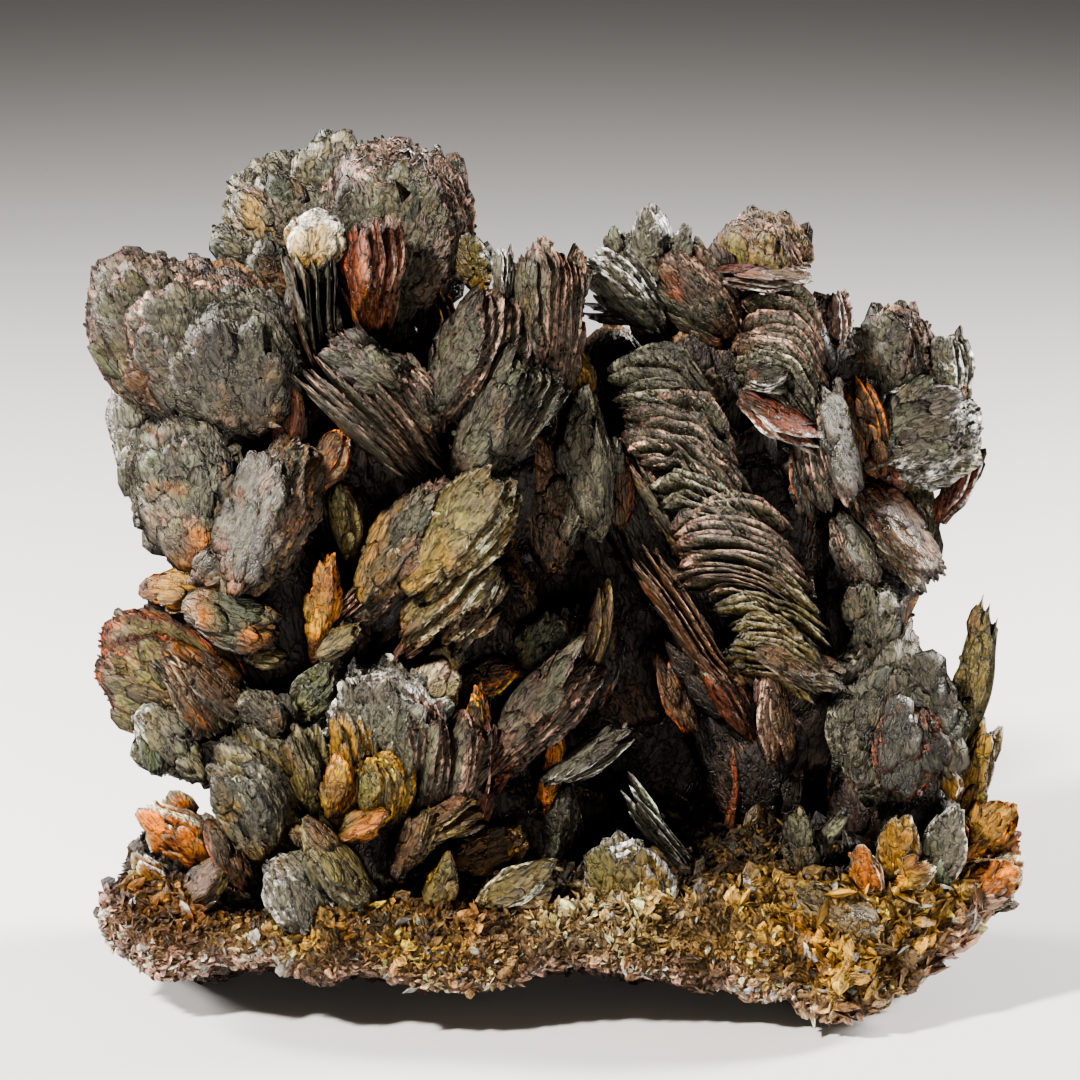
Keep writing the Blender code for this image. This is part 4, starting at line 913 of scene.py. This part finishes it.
    def dome(self, bodies, blades):
        """Steep cupped layers, one above the other, with their free edges up and outwards."""
        rng = self.rng
        middle, up, out = self.centre, self.growth, self.stack
        long, wide, thick = self.long, self.wide, self.thick
        count = int(2 * long / DOME_GAP)
        self.fan = self.step = self.thick = 0
        self.sag = DOME_SAG * wide
        for k in range(count):
            height = 2 * (k + 0.5 + rng.uniform(-0.4, 0.4)) / count - 1
            full = sqrt(max(DOME_LEAST, 1 - DOME_ROUND * (height - 0.1) ** 2))
            tilt = DOME_TILT + DOME_TILT_RISE * height + rng.normal(0, DOME_TILT_SPREAD)
            tilt = radians(tilt)
            self.long = full * thick / 2 / cos(radians(DOME_TILT))
            bent = about(up, out, rng.normal(*DOME_DROOP))
            self.growth = out * cos(tilt) + bent * sin(tilt)
            self.stack = bent * cos(tilt) - out * sin(tilt)
            self.side = unit(np.cross(self.growth, self.stack))
            self.centre = middle + up * (height * long - self.long * sin(tilt))
            self.centre = self.centre + out * rng.normal(0, 0.2) + self.side * rng.normal(0, 0.3)
            self.wide = DOME_WIDE * wide * full * rng.uniform(*DOME_WIDTHS)
            self.layer(bodies, blades, 0.0, 1)

    def build(self, bodies, blades):
        if self.domed:
            self.dome(bodies, blades)
            return
        count = max(2, int(round(self.thick / (LAYER_GAP * self.coarse))))
        for k in range(count):
            self.layer(bodies, blades, (k + 0.5) / count - 0.5, count)
        outermost = 0.5 - 0.5 / count
        for sign in (1, -1):
            self.face_blades(blades, sign * outermost, sign)
        for sign in (1, -1):
            self.face_plates(bodies, sign * outermost, sign)


def smaller(row, rng):
    """A few lesser sheaves that fill in beside and behind an aggregate, near its root."""
    x, z, depth, turn, lean, roll, long, wide, thick = row[:9]
    face, rim, root = row[13:]
    made = []
    if thick < 2.3 or wide < 1.9:
        return made
    along, facing = radians(turn), sin(radians(roll))
    for _ in range(int(rng.integers(1, 4))):
        back = rng.uniform(0.1, 0.8) * long
        aside = rng.choice((-1, 1)) * rng.uniform(0.3, 0.75) * wide
        size = rng.uniform(0.38, 0.58)
        made.append((
            x - cos(along) * back - sin(along) * aside * facing,
            z - sin(along) * back + cos(along) * aside * facing,
            depth + rng.uniform(0.2, 1.0) * (1.2 + thick / 2) * (1 if depth < 6 else -1),
            turn + rng.normal(0, 22), lean, roll + rng.normal(0, 18),
            max(2.0, long * size), max(1.4, wide * size), max(1.4, thick * size),
            0.0, rng.uniform(0, 14), rng.uniform(0.1, 0.4), 0.8,
            rng.choice(("brown", root, face)), rim, rng.choice(("brown", "umber", root)),
        ))
    return made


class Outside:
    """Tells what can be seen of the group from any of the view directions."""

    def __init__(self, cloud):
        ways = FRONT_WAYS + tuple(
            (turn, rise) for rise in ROUND_RISES for turn in range(0, 360, ROUND_STEP))
        self.views = []
        for turn, rise in np.radians(ways):
            way = np.array((cos(rise) * sin(turn), -cos(rise) * cos(turn), sin(rise)))
            side = unit(np.cross(way, (0.0, 0.0, 1.0)))
            up = np.cross(side, way)
            nearest = np.full(VIEW_CELLS**2, -np.inf)
            np.maximum.at(nearest, self.cells(cloud, side, up), cloud @ way)
            self.views.append((way, side, up, nearest))

    def cells(self, points, side, up):
        """Number of the cell of the picture that each point falls in."""
        across, high = (
            np.clip((points @ axis / VIEW_CELL).astype(int) + VIEW_CELLS // 2, 0, VIEW_CELLS - 1)
            for axis in (side, up))
        return across * VIEW_CELLS + high

    def shows(self, points):
        """Which points lie no deeper than HIDDEN_PAST behind what is seen there."""
        found = np.zeros(len(points), bool)
        for way, side, up, nearest in self.views:
            found |= points @ way > nearest[self.cells(points, side, up)] - HIDDEN_PAST
        return found


def cloud_of(groups):
    """Points all over the gathered bodies."""
    found = []
    for bodies in groups:
        points, faces = bodies.joined()[:2]
        corner = points[faces]
        edges = [(corner[:, k] + corner[:, k + 1]) / 2 for k in (0, 1)]
        found += [points, corner.mean(axis=1)] + edges
    return np.concatenate(found)


def placed(name, data):
    """A new object in the scene with this data."""
    made = bpy.data.objects.new(name, data)
    bpy.context.scene.collection.objects.link(made)
    return made


def write_values(mesh, name, kind, values):
    """Keep one value for each point of the mesh under this name."""
    field = {"FLOAT": "value", "FLOAT_VECTOR": "vector", "FLOAT_COLOR": "color"}[kind]
    made = mesh.attributes.new(name, kind, "POINT")
    made.data.foreach_set(field, np.asarray(values).astype(np.float32).ravel())


def write_colour(mesh, name, tones):
    full = np.ones((len(tones), 4))
    full[:, :3] = np.clip(tones, LEAST_TONE, MOST_TONE)
    write_values(mesh, name, "FLOAT_COLOR", full)


def new_points(name, points):
    mesh = bpy.data.meshes.new(name)
    mesh.vertices.add(len(points))
    mesh.vertices.foreach_set("co", (points * MM).astype(np.float32).ravel())
    return mesh


def mesh_piece(name, bodies, look):
    """The gathered bodies as one mesh of triangles with its attributes."""
    points, faces, tones, grains, hems, edges = bodies.joined()
    mesh = new_points(name, np.clip(points, BOX[0], BOX[1]))
    mesh.loops.add(faces.size)
    mesh.loops.foreach_set("vertex_index", faces.astype(np.int32).ravel())
    mesh.polygons.add(len(faces))
    mesh.polygons.foreach_set("loop_start", np.arange(0, faces.size, 3, dtype=np.int32))
    mesh.update(calc_edges=True)
    mesh.validate()
    write_colour(mesh, "tone", tones)
    write_colour(mesh, "hem", hems)
    write_values(mesh, "grain", "FLOAT_VECTOR", grains)
    write_values(mesh, "edge", "FLOAT", edges)
    mesh.materials.append(look)
    return placed(name, mesh)


def crust_profile(x, low, high, front, back):
    """One closed section of the crust, from the foot round its front, top and back."""
    foot_x = x if FOOT_LEFT < x < FOOT_RIGHT else x * FOOT_PAST_ENDS
    foot_front = min(FOOT_FRONT, back - FOOT_INSET)
    foot_back = max(min(FOOT_BACK, back - FOOT_INSET), foot_front + FOOT_LEAST)
    rim_low = seen(x, low + CRUST_SKIN, front + CRUST_SKIN)
    rim_low[2] = max(rim_low[2], CRUST_SKIN)
    rim_high = seen(x, high - CRUST_SKIN, front + CRUST_SLOPE + CRUST_SKIN)
    middle = (rim_low + rim_high) / 2 - np.array([0.0, CRUST_BULGE, 0.0])
    top = rim_high[2]
    return np.array([
        np.array([foot_x, foot_front, 0.0]) + SHIFT,
        rim_low,
        middle,
        rim_high,
        np.array([x, (front + back) / 2, top + CRUST_CROWN]) + SHIFT,
        np.array([x, back - CRUST_SLOPE - CRUST_SKIN, top]) + SHIFT,
        np.array([x, back - CRUST_SKIN, top / 2]) + SHIFT,
        np.array([foot_x, foot_back, 0.0]) + SHIFT,
    ])


def crust_body(bodies):
    """The crust under the small crystals: a wavy, knobbly slab with a flat foot."""
    columns = np.array(CRUST)
    rings = []
    for x in np.arange(columns[0, 0], columns[-1, 0] + 0.01, CRUST_STEP):
        values = [np.interp(x, columns[:, 0], columns[:, c]) for c in range(1, 5)]
        corner = crust_profile(x, *values)
        closed = np.concatenate([corner, corner[:1]])
        steps = np.linalg.norm(np.diff(closed, axis=0), axis=1)
        length = np.concatenate([[0], np.cumsum(steps)])
        spots = np.linspace(0, length[-1], CRUST_RING, endpoint=False)
        rings.append(np.stack([np.interp(spots, length, closed[:, a]) for a in range(3)], 1))
    points = np.concatenate(rings)
    centre = np.repeat(np.array([ring.mean(axis=0) for ring in rings]), CRUST_RING, axis=0)
    lumps = sum(
        height * noise(points, scale, CRUST_PATTERN + k)
        for k, (height, scale) in enumerate(CRUST_LUMPS))
    free = points[:, 2] > 0.05
    points = points + unit(points - centre) * (lumps * free)[:, None]
    points[:, 2] = np.maximum(points[:, 2], 0.0) * free
    points = np.concatenate([[rings[0].mean(axis=0)], points, [rings[-1].mean(axis=0)]])
    faces = lens_faces(len(rings), CRUST_RING)
    patch = noise(points, CRUST_PATCH, CRUST_PATTERN + 2)
    tones = mixed(TONES["crust"], TONES["brown"], ramp(patch, -0.5, 0.6))
    bodies.add(points, faces, tones, points, tones, np.zeros(len(points)))
    return points, faces


def druse_tone(points, rng):
    """Colour of the crust's small crystals: rusty at the left, then cream, then gold; a pale band
    along the lower edge, partly own colour and partly painted light; white painted highlights;
    painted shade on the top behind the front edge.
    """
    count = len(points)
    place = points - SHIFT
    columns = np.array(CRUST)
    low, front = (np.interp(place[:, 0], columns[:, 0], columns[:, c]) for c in (1, 3))
    left = ramp(-place[:, 0], 24, 32)
    patch = noise(points, DRUSE_STAIN_PATCH, CRUST_PATTERN + 3)
    amber = ramp(noise(points, DRUSE_AMBER_PATCH, CRUST_PATTERN + 4), -0.2, 0.5)
    tone = mixed(TONES["druse_gold"], TONES["druse_amber"], amber)
    tone = mixed(tone, TONES["orange"], 0.55 * ramp(patch, 0.1, 0.8))
    tone = mixed(tone, TONES["rust"], np.clip(left * 0.6 + 0.5 * ramp(-patch, 0.35, 0.85), 0, 1))
    cream = np.exp(-(((place[:, 0] - 3.0) / 7.5) ** 2)) * ramp(place[:, 2], 5.5, 9.5)
    tone = mixed(tone, TONES["druse_cream"], 0.85 * cream * rng.uniform(0.3, 1.0, count))
    # A pale band along the lower edge: partly the crystals' own pinkish colour, partly painted
    # light of a brightly lit lower edge.
    hem = 1 - ramp(place[:, 2] - low, 0.4, 4.4)
    tone = mixed(tone, TONES["druse_hem"], hem * rng.uniform(0.35, 1.0, count))
    # Painted highlight: a random few crystals are painted white as sparkle.
    painted_sparkle = rng.uniform(0, 1, count) < DRUSE_PAINTED_SPARKLE
    tone = np.where(painted_sparkle[:, None], np.array(TONES["white"]), tone)
    dim = ramp(noise(points, DRUSE_SHADE_PATCH, CRUST_PATTERN + 7), -0.5, 0.25)
    shade = np.exp(rng.normal(0.0, 0.5, count)) * (0.45 + 0.75 * dim)
    # Painted shade: the top of the crust behind its front edge, under the towers, is darkened.
    behind = ramp(place[:, 1] - front, 3.0, 7.0) * (1 - ramp(place[:, 1], 4, 12))
    return tone * (shade * (1 - 0.85 * behind))[:, None]


def square_to(ways, axes):
    """The part of each way that is at right angles to its axis."""
    return ways - (ways * axes).sum(1)[:, None] * axes


def crust_blades(points, faces, blades, rng):
    """Small leaf-like crystals that stand all over the crust, but for its foot."""
    count = DRUSE_COUNT
    corner = points[faces]
    normal = np.cross(corner[:, 1] - corner[:, 0], corner[:, 2] - corner[:, 0])
    area = np.linalg.norm(normal, axis=1) / 2
    normal = unit(normal)
    height = corner.mean(axis=1)[:, 2]
    front = np.maximum(np.clip(-normal[:, 1], 0, 1), 0.9 * np.abs(normal[:, 0]))
    under = normal[:, 2] <= -0.75 - 0.2 * (normal[:, 1] < -0.1)
    weight = area * (0.25 + front) * ~under * (height > 0.4)
    chosen = rng.choice(len(faces), count, p=weight / weight.sum())
    share = rng.dirichlet((1, 1, 1), count)
    places = (corner[chosen] * share[:, :, None]).sum(axis=1)
    normal = normal[chosen]
    clump = noise(places, DRUSE_CLUMP_PATCH, CRUST_PATTERN + 6)
    bigger = 1 + 0.8 * ramp(places[:, 0], 15, 27) + 0.3 * ramp(places[:, 2], 7, 11)
    length = DRUSE_LONG * np.exp(rng.normal(-0.1, 0.35, count)) * (1 + 0.3 * clump) * bigger
    lean = square_to(rng.normal(0, DRUSE_LEAN, (count, 3)), normal)
    direction = unit(normal * 0.55 + lean + np.array([0.0, 0.0, 0.3]))
    places = places + normal * (length * 0.22)[:, None]
    faced = unit(square_to(rng.normal(0, 1, (count, 3)), direction))
    width = length * rng.uniform(0.4, 0.9, count)
    thick = length * rng.uniform(0.14, 0.3, count)
    sizes = np.stack([width, length, thick], 1)
    blades.add(places, direction, faced, sizes, druse_tone(places, rng))


def blade_form(name, rim):
    """One small crystal a millimetre long: six edges round and two flat faces."""
    mesh = bpy.data.meshes.new(name)
    verts = [(x, y, 0.0) for x, y in rim] + [(0.0, PEAK, 0.5), (0.0, PEAK, -0.5)]
    faces = []
    for i in range(6):
        j = (i + 1) % 6
        faces += [(i, j, 6), (j, i, 7)]
    mesh.from_pydata(verts, [], faces)
    write_values(mesh, "grain", "FLOAT_VECTOR", verts)
    return placed(name, mesh)


def node(tree, kind, inputs, **settings):
    """A new node; each input gets a value, or a link from the output that is given."""
    made = tree.nodes.new(kind)
    for key, value in settings.items():
        setattr(made, key, value)
    for key, value in inputs.items():
        if isinstance(value, bpy.types.NodeSocket):
            tree.links.new(value, made.inputs[key])
        else:
            made.inputs[key].default_value = value
    return made


def blade_tree():
    """A tree that grows one crystal on each point and makes them all real."""
    tree = bpy.data.node_groups.new("grow_blades", "GeometryNodeTree")
    for name, side, kind in (
        ("Geometry", "INPUT", "Geometry"),
        ("Crystal", "INPUT", "Object"),
        ("Unit", "INPUT", "Float"),
        ("Look", "INPUT", "Material"),
        ("Geometry", "OUTPUT", "Geometry"),
    ):
        tree.interface.new_socket(name, in_out=side, socket_type="NodeSocket" + kind)
    given = node(tree, "NodeGroupInput", {}).outputs
    form = node(tree, "GeometryNodeObjectInfo", {"Object": given["Crystal"]})
    facing, size = (
        node(tree, "GeometryNodeInputNamedAttribute", {"Name": name}, data_type="FLOAT_VECTOR")
        for name in ("facing", "size"))
    turn = node(tree, "FunctionNodeEulerToRotation", {"Euler": facing.outputs["Attribute"]})
    scale = {0: size.outputs["Attribute"], "Scale": given["Unit"]}
    scale = node(tree, "ShaderNodeVectorMath", scale, operation="SCALE")
    grow = node(tree, "GeometryNodeInstanceOnPoints", {
        "Points": given["Geometry"],
        "Instance": form.outputs["Geometry"],
        "Rotation": turn.outputs["Rotation"],
        "Scale": scale.outputs["Vector"],
    })
    real = node(tree, "GeometryNodeRealizeInstances", {"Geometry": grow.outputs["Instances"]})
    look = {"Geometry": real.outputs["Geometry"], "Material": given["Look"]}
    look = node(tree, "GeometryNodeSetMaterial", look)
    node(tree, "NodeGroupOutput", {"Geometry": look.outputs["Geometry"]})
    return tree


def facing_of(along, normals):
    """Euler angles that turn the crystal's length to along and its flat face to normals."""
    side = unit(np.cross(along, normals))
    normals = np.cross(side, along)
    pitch = -np.arcsin(np.clip(side[:, 2], -1, 1))
    roll = np.arctan2(along[:, 2], normals[:, 2])
    yaw = np.arctan2(side[:, 1], side[:, 0])
    return np.stack([roll, pitch, yaw], 1)


def blade_piece(name, blades, tree, form, look):
    """The gathered small crystals as one plain mesh."""
    places, along, normals, sizes, tones = blades.joined()
    mesh = new_points(name + "_points", places)
    write_values(mesh, "facing", "FLOAT_VECTOR", facing_of(unit(along), unit(normals)))
    write_values(mesh, "size", "FLOAT_VECTOR", sizes)
    write_colour(mesh, "tone", tones)
    points = placed(name + "_points", mesh)
    grow = points.modifiers.new("grow", "NODES")
    grow.node_group = tree
    inputs = {s.name: s.identifier for s in tree.interface.items_tree if s.in_out == "INPUT"}
    grow[inputs["Crystal"]] = form
    grow[inputs["Unit"]] = MM
    grow[inputs["Look"]] = look
    graph = bpy.context.evaluated_depsgraph_get()
    grown = bpy.data.meshes.new_from_object(points.evaluated_get(graph))
    grown.name = name
    for extra in ("facing", "size"):
        if extra in grown.attributes:
            grown.attributes.remove(grown.attributes[extra])
    points.modifiers.remove(grow)
    bpy.data.objects.remove(points)
    return placed(name, grown)


def spread(tree, source, low, high, least, most, smooth=False):
    """Map a value's range low to high onto least to most, and stop there."""
    limits = {"Value": source, "From Min": low, "From Max": high, "To Min": least, "To Max": most}
    ease = "SMOOTHSTEP" if smooth else "LINEAR"
    return node(tree, "ShaderNodeMapRange", limits, interpolation_type=ease).outputs["Result"]


def combined(tree, first, second, how="MULTIPLY"):
    """Two values multiplied or added."""
    return node(tree, "ShaderNodeMath", {0: first, 1: second}, operation=how).outputs["Value"]


def speckled(tree, vector, scale, detail, rough=0.6):
    values = {"Vector": vector, "Scale": scale, "Detail": detail, "Roughness": rough}
    return node(tree, "ShaderNodeTexNoise", values).outputs


def stretched(tree, vector, scale):
    return node(tree, "ShaderNodeMapping", {"Vector": vector, "Scale": scale}).outputs["Vector"]


def crack_lines(tree, grain):
    """Bent cracks that run mostly with the growth: 0 in a crack, 1 between cracks."""
    bend = speckled(tree, grain, BEND_SCALE, 4, 0.5)["Color"]
    bent = {0: bend, 1: CRACK_BEND, 2: stretched(tree, grain, CRACK_STRETCH)}
    bent = node(tree, "ShaderNodeVectorMath", bent, operation="MULTIPLY_ADD").outputs["Vector"]
    cells = {"Vector": bent, "Scale": CRACK_SCALE}
    cells = node(tree, "ShaderNodeTexVoronoi", cells, feature="DISTANCE_TO_EDGE")
    return spread(tree, cells.outputs["Distance"], 0.0, 0.10, 0.0, 1.0, True)


def crystal_look(name, clear):
    """Greasy, striated descloizite; clear is how much light passes through it."""
    look = bpy.data.materials.new(name)
    look.use_nodes = True
    tree = look.node_tree
    tone, hem, edge, grain = (
        node(tree, "ShaderNodeAttribute", {}, attribute_name=kept).outputs
        for kept in ("tone", "hem", "edge", "grain"))
    place = node(tree, "ShaderNodeTexCoord", {}).outputs["Object"]
    speck = speckled(tree, place, SPECKS_PER_METRE, 5)["Fac"]
    stria = stretched(tree, grain["Vector"], STRIA_STRETCH)
    stria = speckled(tree, stria, STRIA_SCALE, 6)["Fac"]
    chips = node(tree, "ShaderNodeTexVoronoi", {"Vector": place, "Scale": CHIPS_PER_METRE})
    chip = spread(tree, chips.outputs["Distance"], 0.1, 0.75, 1.0, 0.0)
    crack = crack_lines(tree, grain["Vector"])

    height = combined(tree, stria, STRIA_BUMP)
    for part, share in ((chip, CHIP_BUMP), (speck, SPECK_BUMP), (crack, CRACK_BUMP)):
        height = combined(tree, height, combined(tree, part, share), "ADD")
    bump = {"Strength": BUMP_STRENGTH, "Distance": BUMP_HEIGHT, "Height": height}
    bump = node(tree, "ShaderNodeBump", bump).outputs["Normal"]

    # Painted highlight: the edge colour, with its glints, is mixed in at the layers' rims and in
    # speckled spots.
    highlight_share = combined(tree, edge["Fac"], spread(tree, speck, *SPECKS, -0.25, 0.25), "ADD")
    highlight_share = spread(tree, highlight_share, 0.55, 0.95, 0.0, 1.0, True)
    body = {"Factor": highlight_share, "A": tone["Vector"], "B": hem["Vector"]}
    body = node(tree, "ShaderNodeMix", body, data_type="VECTOR").outputs["Result"]
    groove = spread(tree, stria, 0.36, 0.54, 0.34, 1.12, True)
    groove = combined(tree, groove, spread(tree, crack, 0.0, 1.0, 0.66, 1.03))
    shade = combined(tree, groove, spread(tree, speck, *SPECKS, 0.6, 1.45))
    colour = node(tree, "ShaderNodeVectorMath", {0: body, "Scale": shade}, operation="SCALE")

    shader = tree.nodes["Principled BSDF"]
    rough = spread(tree, speck, *SPECKS, 0.24, 0.6)
    for name, source in (
        ("Base Color", colour.outputs["Vector"]), ("Normal", bump), ("Roughness", rough),
    ):
        tree.links.new(source, shader.inputs[name])
    shader.inputs["IOR"].default_value = CRYSTAL_IOR
    shader.inputs["Transmission Weight"].default_value = clear
    return look


def studio():
    """Pale floor, soft light, and the camera at the front view."""
    scene = bpy.context.scene
    mesh = bpy.data.meshes.new("studio_floor")
    corners = ((-1, -1), (1, -1), (1, 1), (-1, 1))
    corners = [(x * FLOOR_REACH, y * FLOOR_REACH, 0) for x, y in corners]
    mesh.from_pydata(corners, [], [(0, 1, 2, 3)])
    look = bpy.data.materials.new("studio_floor")
    look.use_nodes = True
    shader = look.node_tree.nodes["Principled BSDF"]
    shader.inputs["Base Color"].default_value = FLOOR_TONE
    shader.inputs["Roughness"].default_value = FLOOR_ROUGHNESS
    mesh.materials.append(look)
    floor = placed("studio_floor", mesh)

    world = bpy.data.worlds.new("studio")
    world.use_nodes = True
    sky = world.node_tree.nodes["Background"]
    sky.inputs["Color"].default_value = SKY_TONE
    sky.inputs["Strength"].default_value = SKY_STRENGTH
    scene.world = world
    scene.view_settings.look = "AgX - High Contrast"

    for name, place, size, power, colour in LAMPS:
        light = bpy.data.lights.new(name, "AREA")
        light.shape = "DISK"
        light.size = size
        light.energy = power
        light.color = colour
        lamp = placed(name, light)
        lamp.location = place
        lamp.rotation_euler = (LAMP_AIM - Vector(place)).to_track_quat("-Z", "Y").to_euler()

    camera = bpy.data.cameras.new("camera")
    camera.lens = LENS
    camera.sensor_width = SENSOR
    camera.clip_start = NEAREST_SEEN
    eye = placed("camera", camera)
    target = Vector((VIEW_TARGET + SHIFT) * MM)
    eye.location = target - Vector(VIEW_FORWARD) * (VIEW_DISTANCE * MM)
    eye.rotation_euler = (pi / 2 - VIEW_RISE, 0, 0)
    bpy.context.scene.camera = eye


def main():
    rng = np.random.default_rng(SEED)
    patterns = counted(FIRST_PATTERN, PATTERN_STEP)
    look = crystal_look("descloizite_crystal", 0.0)
    honey = crystal_look("descloizite_honey", HONEY_CLEAR)
    tree = blade_tree()
    tile = blade_form("tile", BLUNT)
    leaf = blade_form("leaf", POINTED)
    trunks = [
        row[:6] + tuple(size * TRUNK_SIZE for size in row[6:9]) + TRUNK_REST
        for row in TRUNKS + HOLLOW_BACK]
    groups = []
    for name, table, coarse, filled in (
        ("left_tower", LEFT_TOWER, 1.0, True),
        ("lower_left", LOWER_LEFT, 1.0, True),
        ("right_tower", RIGHT_TOWER, 1.0, True),
        ("crust_leaves", CRUST_LEAVES, 1.0, True),
        ("back", BACK, COARSE, True),
        ("inner_growth", trunks, COARSE, False),
    ):
        layers, blades = Bodies(), Blades()
        for row in table:
            for each in [row] + (smaller(row, rng) if filled else []):
                Aggregate(each, rng, next(patterns), coarse).build(layers, blades)
        groups.append((name, layers, blades))
    crust, druse = Bodies(), Blades()
    points, faces = crust_body(crust)
    crust_blades(points, faces, druse, rng)

    outside = Outside(cloud_of([layers for name, layers, blades in groups] + [crust]))
    pieces = []
    for name, layers, blades in groups:
        layers.each = [body for body in layers.each if outside.shows(body[0]).any()]
        blades = blades.chosen(outside.shows(blades.joined()[0])).boxed()
        pieces.append(mesh_piece(name + "_layers", layers, look))
        pieces.append(blade_piece(name + "_crystals", blades, tree, tile, look))
    pieces.append(mesh_piece("crust_body", crust, look))
    for k, part in enumerate(druse.boxed().halves(points[:, 0].mean())):
        pieces.append(blade_piece("crust_crystals_%d" % (k + 1), part, tree, leaf, honey))
    bpy.data.objects.remove(tile)
    bpy.data.objects.remove(leaf)
    for piece in pieces:
        print(piece.name, len(piece.data.polygons))
        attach(piece, "root")
        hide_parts(NODE)
    studio()


main()
